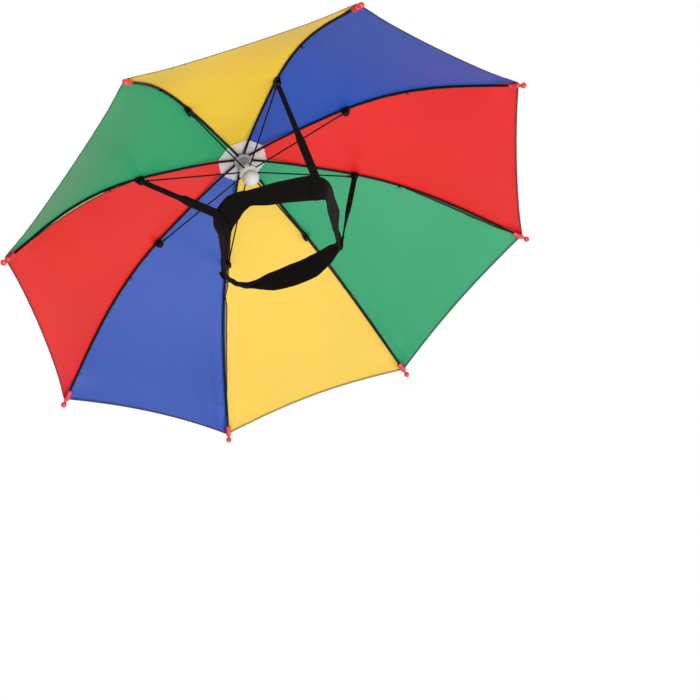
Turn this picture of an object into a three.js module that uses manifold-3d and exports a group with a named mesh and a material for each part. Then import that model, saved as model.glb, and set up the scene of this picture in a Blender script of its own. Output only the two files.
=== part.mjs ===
// Umbrella hat, open: eight cloth panels in four colours over eight curved ribs, with a
// sliding runner and stretchers under the crown and a headband hung on four elastic straps.
// Millimetres, +Z up. The origin is the point inside the headband where the hat sits on a
// head, on the hat's axis. Rib 1 points along +X and the ribs count up counterclockwise.

import * as THREE from 'three';
import { mergeVertices } from 'three/addons/utils/BufferGeometryUtils.js';
import Module from 'manifold-3d';

const wasm = await Module();
wasm.setup();

// Canopy and ribs
const RIB_COUNT = 8;
const TIP_RADIUS = 260;
const CANOPY_RISE = 134;
const RIM_DROP = 16;
const RIB_DIAMETER = 2.2;
const CLOTH_THICKNESS = 1.2;
const EDGE_HOLLOW = 9;
const PANEL_SAG = 2;
const GAP = 0.3;
const RIB_CLEARANCE = 0.35;

// Red caps on the rib ends
const CAP_SLEEVE_LENGTH = 9.8;
const CAP_SLEEVE_DIAMETER = 5.4;
const CAP_NECK_LENGTH = 4.2;
const CAP_NECK_DIAMETER = 2.6;
const CAP_BALL_DIAMETER = 5.2;
const CAP_SHOULDER = 0.8;
const CAP_BORE_CLEARANCE = 0.4;
const CAP_BORE_DEPTH = 7.6;
const CLOTH_OVER_CAP = 8.5;
const CAP_LEAD = 8;

// Hub on the axis
const SHAFT_DIAMETER = 7;
const SHAFT_CLEARANCE = 0.3;
const CROWN_HOLE_DIAMETER = 14;
const NOTCH_DIAMETER = 17;
const NOTCH_HEIGHT = 4.2;
const NOTCH_SLOT_DEPTH = 2.6;
const NOTCH_SLEEVE_LENGTH = 9;
const NOTCH_SLEEVE_TOP_DIAMETER = 12;
const NOTCH_SLEEVE_END_DIAMETER = 9.4;
const RUNNER_DIAMETER = 18;
const RUNNER_HEIGHT = 9;
const RUNNER_SLOT_DEPTH = 2.4;
const RUNNER_BELOW_CROWN = 20;
const RUNNER_FOOT = 2.5;
const RUNNER_SHOULDER = 2.2;
const CHAMFER = 1;
const KNOB_DIAMETER = 16.5;
const KNOB_HEIGHT = 11;
const KNOB_LIP = 1.5;
const KNOB_BELOW_RUNNER = 1;
const DISC_DIAMETER = 51;
const DISC_THICKNESS = 1;
const DISC_SCALLOP = 1.4;
const CLOTH_LANDS_FROM = 1.15;
const CLOTH_LANDS_TO = 2.4;
const FINIAL_BALL_DIAMETER = 19;
const FINIAL_SKIRT_DIAMETER = 25;
const FINIAL_SKIRT_HEIGHT = 9;
const FINIAL_EDGE = 1.5;
const FINIAL_NECK_SHARE = 0.82;
const SHAFT_IN_FINIAL = 7;
const SHAFT_IN_KNOB = 6;

// Stretchers and the clips that tie them to the ribs
const STRETCHER_DIAMETER = 1.8;
const CLIP_RADIUS = 112;
const CLIP_LENGTH = 8;
const CLIP_WIDTH = 5.2;
const CLIP_DEPTH = 2.6;
const CLIP_TOP = 0.3;
const BOSS_DIAMETER = 6.6;
const BOSS_DROP = 3.9;

// Elastic headband and its straps
const BAND_RADIUS = 62;
const BAND_DIP = 11;
const BAND_WIDTH = 25;
const BAND_THICKNESS = 2;
const STRAP_WIDTH = 11;
const STRAP_THICKNESS = 1.3;
const STRAP_LOOP_WIDTH = 5.5;
const STRAP_LOOP_THICKNESS = 2.6;
const STRAP_LOOP_SHARE = 0.5;
const STRAP_FLARE_SHARE = 0.12;
const STRAP_TURN = 25;
const STRAP_LAP_SHARE = 0.88;

// Steps of the meshes, and how near two corners are merged
const ROWS = 13;
const COLUMNS = 6;
const ROUND_SIDES = 24;
const WIRE_SIDES = 6;
const CAP_SIDES = 10;
const CAP_BALL_STEPS = 4;
const DOME_STEPS = 8;
const DISC_SPOKES = 8;
const DISC_ROWS = 2;
const WELD = 1e-4;

const COLOURS = { green: 0x41a06e, yellow: 0xf6d250, blue: 0x3a53ab, red: 0xe63c3c };

// The panels from rib 1 on, with how hollow the rim edge is as a share of EDGE_HOLLOW.
const PANELS = [
  { colour: 'green', hollow: 0.5 },
  { colour: 'yellow', hollow: 0.9 },
  { colour: 'blue', hollow: 0.65 },
  { colour: 'red', hollow: 0.4 },
  { colour: 'green', hollow: 0.25 },
  { colour: 'yellow', hollow: 0.35 },
  { colour: 'blue', hollow: 0.35 },
  { colour: 'red', hollow: 0.3 },
];

// The bow of a rib: how far out it is as a share of the tip radius, and how far up as a
// share of the canopy's rise.
const RIB_BOW = [
  { out: 0.0, up: 1.0 },
  { out: 0.1, up: 0.972 },
  { out: 0.2, up: 0.931 },
  { out: 0.3, up: 0.879 },
  { out: 0.4, up: 0.823 },
  { out: 0.5, up: 0.751 },
  { out: 0.6, up: 0.654 },
  { out: 0.7, up: 0.527 },
  { out: 0.8, up: 0.369 },
  { out: 0.9, up: 0.187 },
  { out: 1.0, up: 0.0 },
];

// The headband's course: turn in degrees about the axis, out as a share of the band's
// radius, up as a share of its dip, flare in degrees that the upper edge leans outward,
// and the width and thickness as shares, less and more where the band is gathered.
const BAND_COURSE = [
  { turn: 8, out: 1.0, up: -0.09, flare: 20, width: 0.5, thick: 2.3 },
  { turn: 19, out: 0.98, up: 0.0, flare: 12, width: 0.85, thick: 1.4 },
  { turn: 41, out: 0.96, up: 0.27, flare: -6, width: 1, thick: 1 },
  { turn: 62, out: 0.95, up: 0.55, flare: -8, width: 1, thick: 1 },
  { turn: 83, out: 1.01, up: 0.73, flare: 4, width: 1, thick: 1 },
  { turn: 99, out: 1.08, up: 0.82, flare: 22, width: 0.62, thick: 1.8 },
  { turn: 112, out: 1.11, up: 0.91, flare: 26, width: 0.45, thick: 2.2 },
  { turn: 125, out: 1.08, up: 1.0, flare: 8, width: 0.42, thick: 2.3 },
  { turn: 146, out: 0.92, up: 0.91, flare: -8, width: 0.75, thick: 1.3 },
  { turn: 170, out: 0.87, up: 0.77, flare: 4, width: 1, thick: 1 },
  { turn: 183, out: 0.92, up: 0.68, flare: 18, width: 1, thick: 1 },
  { turn: 197, out: 0.99, up: 0.61, flare: 23, width: 1, thick: 1 },
  { turn: 213, out: 1.02, up: 0.5, flare: 20, width: 1, thick: 1 },
  { turn: 228, out: 1.03, up: 0.18, flare: 6, width: 0.72, thick: 1.35 },
  { turn: 243, out: 0.98, up: -0.18, flare: 2, width: 1, thick: 1 },
  { turn: 260, out: 1.0, up: -0.55, flare: 10, width: 1, thick: 1 },
  { turn: 281, out: 1.11, up: -0.92, flare: 25, width: 1, thick: 1 },
  { turn: 290, out: 1.12, up: -1.0, flare: 30, width: 0.8, thick: 1.2 },
  { turn: 307, out: 0.94, up: -0.82, flare: 37, width: 0.82, thick: 1.2 },
  { turn: 333, out: 0.86, up: -0.45, flare: 38, width: 0.88, thick: 1 },
  { turn: 355, out: 0.9, up: -0.18, flare: 22, width: 0.75, thick: 1.5 },
];

// Each strap hangs from the clip of one rib and is sewn to the band at one turn. Below its
// loop it has a share of the strap width. It leaves the clip twisted by a share of the strap
// turn and lies flat from one share of its length on.
const STRAPS = [
  { rib: 1, turn: 8, width: 0.5, twist: -2.6, twistStart: 0.3, twistEnd: 0.92 },
  { rib: 3, turn: 125, width: 0.5, twist: 1, twistStart: 0.1, twistEnd: 0.8 },
  { rib: 5, turn: 197, width: 0.86, twist: 0.1, twistStart: 0.1, twistEnd: 0.8 },
  { rib: 7, turn: 281, width: 0.75, twist: -0.9, twistStart: 0.1, twistEnd: 0.8 },
];

const UP = new THREE.Vector3(0, 0, 1);
const RIB_RADIUS = RIB_DIAMETER / 2;
const RIB_STEP = (2 * Math.PI) / RIB_COUNT;
const PIVOT_RISE = -BOSS_DROP;

const ribCurve = new THREE.CatmullRomCurve3(
  RIB_BOW.map((row) => new THREE.Vector3(row.out * TIP_RADIUS, 0, row.up * CANOPY_RISE - RIM_DROP)),
);
const RIB_LENGTH = ribCurve.getLength();

const CAP_LENGTH = CAP_SLEEVE_LENGTH + CAP_NECK_LENGTH;
const CAP_MOUTH = 1 - (CAP_LENGTH + GAP) / RIB_LENGTH;
const CLOTH_END = CAP_MOUTH + CLOTH_OVER_CAP / RIB_LENGTH;
const RIB_END = 1 - (CAP_LENGTH - CAP_BORE_DEPTH + GAP) / RIB_LENGTH;

// The share of the rib's length at a given distance from the axis.
function shareAtRadius(radius) {
  let low = 0;
  let high = 1;
  for (let halving = 0; halving < 40; halving += 1) {
    const middle = (low + high) / 2;
    if (ribCurve.getPointAt(middle).x < radius) {
      low = middle;
    } else {
      high = middle;
    }
  }
  return low;
}

function smooth(value, from, to) {
  return THREE.MathUtils.smoothstep(value, from, to);
}

// The point a distance above the middle line of the rib at one azimuth.
function ribPoint(share, azimuth, lift) {
  const tangent = ribCurve.getTangentAt(share);
  const normal = new THREE.Vector3(-tangent.z, 0, tangent.x);
  const point = ribCurve.getPointAt(share).addScaledVector(normal, lift);
  return point.applyAxisAngle(UP, azimuth);
}

// A closed solid through rings of the same number of points, each ring listed along one
// face and back along the other, with ladder-shaped ends unless the rings close on themselves.
function loft(rings, closed = false) {
  const size = rings[0].length;
  const positions = rings.flat().flatMap((point) => [point.x, point.y, point.z]);
  const faces = [];
  const spans = closed ? rings.length : rings.length - 1;
  for (let span = 0; span < spans; span += 1) {
    const here = span * size;
    const next = ((span + 1) % rings.length) * size;
    for (let side = 0; side < size; side += 1) {
      const after = (side + 1) % size;
      faces.push(here + side, here + after, next + after);
      faces.push(here + side, next + after, next + side);
    }
  }
  if (!closed) {
    const last = (rings.length - 1) * size;
    for (let side = 0; side < size / 2 - 1; side += 1) {
      const back = size - 1 - side;
      faces.push(side, back, side + 1, side + 1, back, back - 1);
      faces.push(last + side, last + side + 1, last + back);
      faces.push(last + side + 1, last + back - 1, last + back);
    }
  }
  const geometry = new THREE.BufferGeometry();
  geometry.setAttribute('position', new THREE.Float32BufferAttribute(positions, 3));
  geometry.setIndex(faces);
  return facingOut(geometry);
}

// Six times the volume that the faces enclose, with its sign.
function signedVolume(geometry) {
  const places = geometry.getAttribute('position');
  const index = geometry.getIndex();
  const corner = [new THREE.Vector3(), new THREE.Vector3(), new THREE.Vector3()];
  let sum = 0;
  for (let face = 0; face < index.count; face += 3) {
    corner.forEach((point, side) => point.fromBufferAttribute(places, index.getX(face + side)));
    sum += corner[0].dot(corner[1].cross(corner[2]));
  }
  return sum;
}

function facingOut(geometry) {
  if (signedVolume(geometry) < 0) {
    geometry.setIndex(Array.from(geometry.getIndex().array).reverse());
  }
  geometry.computeVertexNormals();
  return geometry;
}

function toSolid(geometry) {
  const bare = geometry.clone();
  bare.deleteAttribute('normal');
  bare.deleteAttribute('uv');
  const merged = mergeVertices(bare, WELD);
  return new wasm.Manifold(new wasm.Mesh({
    numProp: 3,
    vertProperties: new Float32Array(merged.getAttribute('position').array),
    triVerts: new Uint32Array(merged.getIndex().array),
  }));
}

function toGeometry(solid) {
  const mesh = solid.getMesh();
  const geometry = new THREE.BufferGeometry();
  geometry.setAttribute('position', new THREE.Float32BufferAttribute(mesh.vertProperties, 3));
  geometry.setIndex(Array.from(mesh.triVerts));
  geometry.computeVertexNormals();
  return geometry;
}

// A turned solid about +Z from a profile of [radius, height] pairs.
function turned(profile, sides = ROUND_SIDES) {
  const points = profile.map(([radius, height]) => new THREE.Vector2(radius, height));
  const geometry = new THREE.LatheGeometry(points, sides);
  geometry.rotateX(Math.PI / 2);
  return facingOut(weld(geometry));
}

function weld(geometry) {
  geometry.deleteAttribute('normal');
  geometry.deleteAttribute('uv');
  const merged = mergeVertices(geometry, WELD);
  return withoutSlivers(merged);
}

// Drops the faces that shrink to nothing where a profile meets the axis.
function withoutSlivers(geometry) {
  const index = geometry.getIndex().array;
  const kept = [];
  for (let face = 0; face < index.length; face += 3) {
    const [a, b, c] = [index[face], index[face + 1], index[face + 2]];
    if (a !== b && b !== c && c !== a) {
      kept.push(a, b, c);
    }
  }
  geometry.setIndex(kept);
  return geometry;
}

function material(colour, roughness, metalness = 0) {
  return new THREE.MeshStandardMaterial({ color: colour, roughness, metalness });
}

const blackMetal = material(0x17171a, 0.4, 0.6);
const blackPlastic = material(0x1b1b1d, 0.45);
const blackElastic = material(0x121214, 0.9);
const redPlastic = material(0xd2404a, 0.35);
const whitePlastic = material(0xeeeeec, 0.35);
const clearPlastic = material(0xe9edf0, 0.3);

const hat = new THREE.Group();

function add(name, geometry, finish) {
  const mesh = new THREE.Mesh(geometry, finish);
  mesh.name = name;
  hat.add(mesh);
  return mesh;
}

// Canopy: a panel is stretched straight between two neighbouring ribs, sags a little
// inward at its middle, and its rim edge is cut hollow.
const DISC_LIFT = RIB_RADIUS + RIB_CLEARANCE;
const DISC_EDGE = shareAtRadius(DISC_DIAMETER / 2);
const CLOTH_START = shareAtRadius(CROWN_HOLE_DIAMETER / 2);
const CLOTH_NEAR_CAP = CAP_MOUTH - CAP_LEAD / RIB_LENGTH;

// The cloth's height over the rib's middle line: it lies over the disc at the crown, lands
// on the rib between two shares of the disc's reach, and steps up over the cap's sleeve.
function clothLift(share) {
  const overDisc = DISC_THICKNESS + GAP;
  const overCap = CAP_SLEEVE_DIAMETER / 2 - RIB_RADIUS;
  return DISC_LIFT
    + overDisc * (1 - smooth(share, DISC_EDGE * CLOTH_LANDS_FROM, DISC_EDGE * CLOTH_LANDS_TO))
    + overCap * smooth(share, CLOTH_NEAR_CAP, CAP_MOUTH - GAP / RIB_LENGTH);
}

// The shares of the rib's length at which the cloth and the ribs have a section.
function clothShares() {
  const shares = [];
  for (let row = 0; row <= ROWS; row += 1) {
    shares.push(THREE.MathUtils.lerp(CLOTH_START, CLOTH_NEAR_CAP, row / ROWS));
  }
  return [...shares, CAP_MOUTH - GAP / RIB_LENGTH, CLOTH_END];
}

function panelPoint(panel, share, across, lift) {
  const bow = 4 * across * (1 - across);
  const reach = (share - CLOTH_START) / (CLOTH_END - CLOTH_START);
  const hollow = (PANELS[panel % PANELS.length].hollow * EDGE_HOLLOW) / RIB_LENGTH;
  const cut = share - hollow * bow * Math.max(0, reach) ** 3;
  const first = ribPoint(cut, panel * RIB_STEP, lift);
  const second = ribPoint(cut, (panel + 1) * RIB_STEP, lift);
  const chord = first.distanceTo(second);
  const inset = GAP / 2 / (chord * Math.cos(RIB_STEP / 2));
  const place = first.clone().lerp(second, THREE.MathUtils.lerp(inset, 1 - inset, across));
  const middle = (panel + 0.5) * RIB_STEP;
  const inward = ribPoint(cut, middle, 0).sub(ribPoint(cut, middle, 1));
  return place.addScaledVector(inward, PANEL_SAG * bow * smooth(reach, 0.1, 0.6));
}

function panelGeometry(panel) {
  const rings = [];
  for (const share of clothShares()) {
    const under = [];
    const over = [];
    for (let column = 0; column <= COLUMNS; column += 1) {
      const across = column / COLUMNS;
      under.push(panelPoint(panel, share, across, clothLift(share)));
      over.push(panelPoint(panel, share, across, clothLift(share) + CLOTH_THICKNESS));
    }
    rings.push([...under, ...over.reverse()]);
  }
  return loft(rings);
}

// Round wire through a list of points, its section square to the points' plane.
function wire(points, side, radius) {
  const rings = points.map((point, place) => {
    const before = points[Math.max(0, place - 1)];
    const after = points[Math.min(points.length - 1, place + 1)];
    const along = after.clone().sub(before).normalize();
    const rise = new THREE.Vector3().crossVectors(along, side).normalize();
    return Array.from({ length: WIRE_SIDES }, (_, step) => {
      const angle = ((step + 0.5) / WIRE_SIDES) * 2 * Math.PI;
      return point.clone()
        .addScaledVector(side, radius * Math.cos(angle))
        .addScaledVector(rise, radius * Math.sin(angle));
    });
  });
  return loft(rings);
}

const NOTCH_RIB_RADIUS = NOTCH_DIAMETER / 2 - NOTCH_SLOT_DEPTH + GAP;

function ribGeometry(azimuth) {
  const start = shareAtRadius(NOTCH_RIB_RADIUS);
  const between = clothShares().filter((share) => share > start + GAP / RIB_LENGTH);
  const shares = [start, ...between.filter((share) => share < RIB_END), RIB_END];
  const points = shares.map((share) => ribPoint(share, azimuth, 0));
  return wire(points, new THREE.Vector3(-Math.sin(azimuth), Math.cos(azimuth), 0), RIB_RADIUS);
}

// Tip cap, turned about the line of the rib's end, its ball at the tip radius.
function capGeometry(azimuth) {
  const ball = CAP_BALL_DIAMETER / 2;
  const neck = CAP_NECK_DIAMETER / 2;
  const sleeve = CAP_SLEEVE_DIAMETER / 2;
  const bore = RIB_RADIUS + CAP_BORE_CLEARANCE;
  const shoulder = -CAP_NECK_LENGTH;
  const mouth = -CAP_LENGTH;
  const profile = [[0, mouth + CAP_BORE_DEPTH], [bore, mouth + CAP_BORE_DEPTH], [bore, mouth]];
  profile.push([sleeve, mouth], [sleeve, shoulder - CAP_SHOULDER], [neck, shoulder]);
  const join = Math.asin(neck / ball);
  for (let step = 0; step <= CAP_BALL_STEPS; step += 1) {
    const angle = THREE.MathUtils.lerp(Math.PI - join, 0, step / CAP_BALL_STEPS);
    profile.push([step === CAP_BALL_STEPS ? 0 : ball * Math.sin(angle), ball * Math.cos(angle)]);
  }
  const geometry = turned(profile, CAP_SIDES);
  const along = ribCurve.getTangentAt(1).applyAxisAngle(UP, azimuth);
  geometry.applyQuaternion(new THREE.Quaternion().setFromUnitVectors(UP, along));
  const tip = ribCurve.getPointAt(1).applyAxisAngle(UP, azimuth);
  return geometry.translate(tip.x, tip.y, tip.z);
}

// Hub heights, from the crown down.
const CROWN_Z = CANOPY_RISE - RIM_DROP;
const RUNNER_Z = CROWN_Z - RUNNER_BELOW_CROWN;
const SHAFT_RADIUS = SHAFT_DIAMETER / 2;
const BORE_RADIUS = SHAFT_RADIUS + SHAFT_CLEARANCE;
const CLOTH_TOP = ribPoint(CLOTH_START, 0, clothLift(CLOTH_START) + CLOTH_THICKNESS).z;
const FINIAL_Z = CLOTH_TOP + GAP;
const KNOB_TOP = RUNNER_Z - RUNNER_HEIGHT / 2 - KNOB_BELOW_RUNNER;
const NOTCH_TOP = ribPoint(shareAtRadius(NOTCH_DIAMETER / 2), 0, DISC_LIFT).z - GAP;

// Cuts one slot for each rib or stretcher into a ring on the axis.
function slotted(geometry, radius, depth, from, height, width) {
  let solid = toSolid(geometry);
  for (let rib = 0; rib < RIB_COUNT; rib += 1) {
    const cutter = new THREE.BoxGeometry(depth * 2, width, height);
    cutter.translate(radius, 0, from + height / 2);
    cutter.rotateZ(rib * RIB_STEP);
    solid = solid.subtract(toSolid(cutter));
  }
  return toGeometry(solid);
}

function shaftGeometry() {
  const low = KNOB_TOP - SHAFT_IN_KNOB;
  const high = FINIAL_Z + SHAFT_IN_FINIAL;
  return turned([[0, low], [SHAFT_RADIUS, low], [SHAFT_RADIUS, high], [0, high]]);
}

// Collar that holds the ribs, on a sleeve that narrows down the shaft.
function notchGeometry() {
  const outer = NOTCH_DIAMETER / 2;
  const low = NOTCH_TOP - NOTCH_HEIGHT;
  const end = low - NOTCH_SLEEVE_LENGTH;
  const profile = [[BORE_RADIUS, end], [NOTCH_SLEEVE_END_DIAMETER / 2, end]];
  profile.push([NOTCH_SLEEVE_TOP_DIAMETER / 2, low], [outer - CHAMFER, low], [outer, low + CHAMFER]);
  profile.push([outer, NOTCH_TOP], [BORE_RADIUS, NOTCH_TOP], [BORE_RADIUS, end]);
  const floor = ribPoint(shareAtRadius(outer), 0, -RIB_RADIUS - RIB_CLEARANCE).z - GAP;
  const width = RIB_DIAMETER + 2 * GAP;
  return slotted(turned(profile), outer, NOTCH_SLOT_DEPTH, floor, NOTCH_HEIGHT, width);
}

function runnerGeometry() {
  const outer = RUNNER_DIAMETER / 2;
  const half = RUNNER_HEIGHT / 2;
  const foot = outer - 2 * CHAMFER;
  const profile = [[BORE_RADIUS, RUNNER_Z - half], [foot, RUNNER_Z - half]];
  profile.push([outer, RUNNER_Z - half + RUNNER_FOOT], [outer, RUNNER_Z + half - RUNNER_SHOULDER]);
  profile.push([outer - RUNNER_SHOULDER, RUNNER_Z + half], [BORE_RADIUS, RUNNER_Z + half]);
  profile.push([BORE_RADIUS, RUNNER_Z - half]);
  const width = STRETCHER_DIAMETER + 2 * GAP;
  const from = RUNNER_Z - width / 2;
  return slotted(turned(profile), outer, RUNNER_SLOT_DEPTH, from, width, width);
}

function knobGeometry() {
  const outer = KNOB_DIAMETER / 2;
  const low = KNOB_TOP - KNOB_HEIGHT;
  const seat = KNOB_TOP - SHAFT_IN_KNOB - GAP;
  const rim = outer - KNOB_LIP;
  const profile = [[0, seat], [BORE_RADIUS, seat], [BORE_RADIUS, KNOB_TOP], [rim, KNOB_TOP]];
  const waist = low + outer;
  for (let step = 0; step <= DOME_STEPS; step += 1) {
    const angle = (step / DOME_STEPS) * (Math.PI / 2);
    const radius = step === DOME_STEPS ? 0 : outer * Math.cos(angle);
    profile.push([radius, waist - outer * Math.sin(angle)]);
  }
  return turned(profile);
}

function finialGeometry() {
  const ball = FINIAL_BALL_DIAMETER / 2;
  const skirt = FINIAL_SKIRT_DIAMETER / 2;
  const seat = FINIAL_Z + SHAFT_IN_FINIAL + GAP;
  const neck = ball * FINIAL_NECK_SHARE;
  const centre = FINIAL_Z + FINIAL_SKIRT_HEIGHT + Math.sqrt(ball ** 2 - neck ** 2);
  const profile = [[0, seat], [BORE_RADIUS, seat], [BORE_RADIUS, FINIAL_Z], [skirt, FINIAL_Z]];
  const shoulder = FINIAL_Z + FINIAL_SKIRT_HEIGHT - FINIAL_EDGE;
  profile.push([skirt, FINIAL_Z + FINIAL_EDGE], [neck + CHAMFER, shoulder]);
  const start = Math.PI - Math.asin(neck / ball);
  for (let step = 0; step <= DOME_STEPS; step += 1) {
    const angle = THREE.MathUtils.lerp(start, 0, step / DOME_STEPS);
    const radius = step === DOME_STEPS ? 0 : ball * Math.sin(angle);
    profile.push([radius, centre + ball * Math.cos(angle)]);
  }
  return turned(profile);
}

// Crown disc: a thin scalloped sheet between the ribs and the cloth.
function discGeometry() {
  const rings = [];
  for (let spoke = 0; spoke < RIB_COUNT * DISC_SPOKES; spoke += 1) {
    const panel = Math.floor(spoke / DISC_SPOKES);
    const across = (spoke % DISC_SPOKES) / DISC_SPOKES;
    const azimuth = panel * RIB_STEP;
    const scallop = DISC_SCALLOP * Math.abs(Math.cos(across * 4 * Math.PI));
    const outer = shareAtRadius(DISC_DIAMETER / 2 - DISC_SCALLOP + scallop);
    const under = [];
    const over = [];
    for (let row = 0; row <= DISC_ROWS; row += 1) {
      const share = THREE.MathUtils.lerp(CLOTH_START, outer, row / DISC_ROWS);
      const low = ribPoint(share, azimuth, DISC_LIFT);
      const high = ribPoint(share, azimuth, DISC_LIFT + DISC_THICKNESS);
      under.push(low.lerp(ribPoint(share, azimuth + RIB_STEP, DISC_LIFT), across));
      const far = ribPoint(share, azimuth + RIB_STEP, DISC_LIFT + DISC_THICKNESS);
      over.push(high.lerp(far, across));
    }
    rings.push([...under, ...over.reverse()]);
  }
  return loft(rings, true);
}

// A clip's own frame: outward along the rib, sideways, and up off the rib.
function clipFrame(azimuth) {
  const share = shareAtRadius(CLIP_RADIUS);
  const along = ribCurve.getTangentAt(share).applyAxisAngle(UP, azimuth);
  const side = new THREE.Vector3(-Math.sin(azimuth), Math.cos(azimuth), 0);
  const rise = new THREE.Vector3().crossVectors(along, side);
  const origin = ribPoint(share, azimuth, 0);
  return new THREE.Matrix4().makeBasis(along, side, rise).setPosition(origin);
}

function clipGeometry(azimuth) {
  const body = new THREE.BoxGeometry(CLIP_LENGTH, CLIP_WIDTH, CLIP_DEPTH);
  body.translate(0, 0, CLIP_TOP - CLIP_DEPTH / 2);
  const boss = new THREE.CylinderGeometry(BOSS_DIAMETER / 2, BOSS_DIAMETER / 2, CLIP_WIDTH, 18);
  boss.translate(0, 0, PIVOT_RISE);
  const slot = new THREE.BoxGeometry(CLIP_LENGTH * 2, RIB_DIAMETER + 2 * GAP, CLIP_DEPTH);
  slot.translate(0, 0, CLIP_DEPTH / 2 - RIB_RADIUS - GAP);
  const geometry = toGeometry(toSolid(body).add(toSolid(boss)).subtract(toSolid(slot)));
  return geometry.applyMatrix4(clipFrame(azimuth));
}

function bossCentre(azimuth) {
  return new THREE.Vector3(0, 0, PIVOT_RISE).applyMatrix4(clipFrame(azimuth));
}

function stretcherGeometry(azimuth) {
  const inner = RUNNER_DIAMETER / 2 - RUNNER_SLOT_DEPTH + GAP;
  const start = new THREE.Vector3(inner, 0, RUNNER_Z).applyAxisAngle(UP, azimuth);
  const boss = bossCentre(azimuth);
  const along = boss.clone().sub(start).normalize();
  const end = boss.clone().addScaledVector(along, -BOSS_DIAMETER / 2 - GAP);
  const side = new THREE.Vector3(-Math.sin(azimuth), Math.cos(azimuth), 0);
  return wire([start, end], side, STRETCHER_DIAMETER / 2);
}

const bandCurve = new THREE.CatmullRomCurve3(
  BAND_COURSE.map((row) => new THREE.Vector3(
    row.out * BAND_RADIUS * Math.cos(THREE.MathUtils.degToRad(row.turn)),
    row.out * BAND_RADIUS * Math.sin(THREE.MathUtils.degToRad(row.turn)),
    row.up * BAND_DIP,
  )),
  true,
);

// The band's middle, its edge direction and its outward face at a place counted in rows.
function bandFrame(place) {
  const count = BAND_COURSE.length;
  const along = bandCurve.getTangent((place / count) % 1);
  const here = BAND_COURSE[Math.floor(place) % count];
  const next = BAND_COURSE[(Math.floor(place) + 1) % count];
  const mix = place - Math.floor(place);
  const upright = UP.clone().addScaledVector(along, -along.z).normalize();
  const flare = THREE.MathUtils.degToRad(THREE.MathUtils.lerp(here.flare, next.flare, mix));
  const edge = upright.applyAxisAngle(along, flare);
  return {
    centre: bandCurve.getPoint((place / count) % 1),
    along,
    edge,
    face: new THREE.Vector3().crossVectors(along, edge),
    width: BAND_WIDTH * THREE.MathUtils.lerp(here.width, next.width, mix),
    thick: BAND_THICKNESS * THREE.MathUtils.lerp(here.thick, next.thick, mix),
  };
}

// The four corners of a flat strip's section.
function stripSection(centre, edge, face, width, thick) {
  const corner = (across, out) => centre.clone()
    .addScaledVector(edge, (across * width) / 2)
    .addScaledVector(face, (out * thick) / 2);
  return [corner(-1, -1), corner(1, -1), corner(1, 1), corner(-1, 1)];
}

function bandGeometry() {
  const rings = [];
  for (let place = 0; place < BAND_COURSE.length; place += 0.5) {
    const frame = bandFrame(place);
    rings.push(stripSection(frame.centre, frame.edge, frame.face, frame.width, frame.thick));
  }
  return loft(rings, true);
}

// A strap hangs from the clip's boss as a narrow doubled loop, opens to its single width
// below the loop and laps the band's outer face.
function strapGeometry(strap) {
  const place = BAND_COURSE.findIndex((row) => row.turn === strap.turn);
  const band = bandFrame(place);
  const offset = band.thick / 2 + GAP + STRAP_THICKNESS / 2;
  const lapTop = band.centre.clone()
    .addScaledVector(band.edge, band.width / 2 + GAP)
    .addScaledVector(band.face, offset);
  const lapEnd = lapTop.clone().addScaledVector(band.edge, -STRAP_LAP_SHARE * band.width);
  const azimuth = (strap.rib - 1) * RIB_STEP;
  const boss = bossCentre(azimuth);
  const down = lapTop.clone().sub(boss).normalize();
  const lean = Math.abs(down.dot(new THREE.Vector3(-Math.sin(azimuth), Math.cos(azimuth), 0)));
  const reach = BOSS_DIAMETER / 2 + GAP + (lean * STRAP_LOOP_WIDTH) / 2;
  const top = boss.clone().addScaledVector(down, reach / Math.sqrt(1 - lean ** 2));
  const flareEnd = STRAP_LOOP_SHARE + STRAP_FLARE_SHARE;
  const shares = [0, 0.25, 0.5, 0.75, 1].map((step) => step * STRAP_LOOP_SHARE);
  shares.push((STRAP_LOOP_SHARE + flareEnd) / 2, flareEnd);
  shares.push((flareEnd * 2 + 1) / 3, (flareEnd + 2) / 3, 1);
  const rings = shares.map((share) => {
    const open = smooth(share, STRAP_LOOP_SHARE, flareEnd);
    const flat = band.along.clone().addScaledVector(down, -band.along.dot(down)).normalize();
    const left = 1 - smooth(share, strap.twistStart, strap.twistEnd);
    const turn = THREE.MathUtils.degToRad(strap.twist * STRAP_TURN) * left;
    const side = flat.applyAxisAngle(down, turn);
    const face = new THREE.Vector3().crossVectors(down, side);
    const width = THREE.MathUtils.lerp(STRAP_LOOP_WIDTH, strap.width * STRAP_WIDTH, open);
    const thick = THREE.MathUtils.lerp(STRAP_LOOP_THICKNESS, STRAP_THICKNESS, open);
    return stripSection(top.clone().lerp(lapTop, share), side, face, width, thick);
  });
  const lapWidth = strap.width * STRAP_WIDTH;
  rings.push(stripSection(lapEnd, band.along, band.face, lapWidth, STRAP_THICKNESS));
  return loft(rings);
}

for (let rib = 0; rib < RIB_COUNT; rib += 1) {
  const azimuth = rib * RIB_STEP;
  const number = rib + 1;
  const colour = COLOURS[PANELS[rib % PANELS.length].colour];
  add(`canopy_panel_${number}`, panelGeometry(rib), material(colour, 0.5));
  add(`rib_${number}`, ribGeometry(azimuth), blackMetal);
  add(`tip_cap_${number}`, capGeometry(azimuth), redPlastic);
  add(`stretcher_${number}`, stretcherGeometry(azimuth), blackMetal);
  add(`rib_clip_${number}`, clipGeometry(azimuth), blackPlastic);
}

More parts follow.
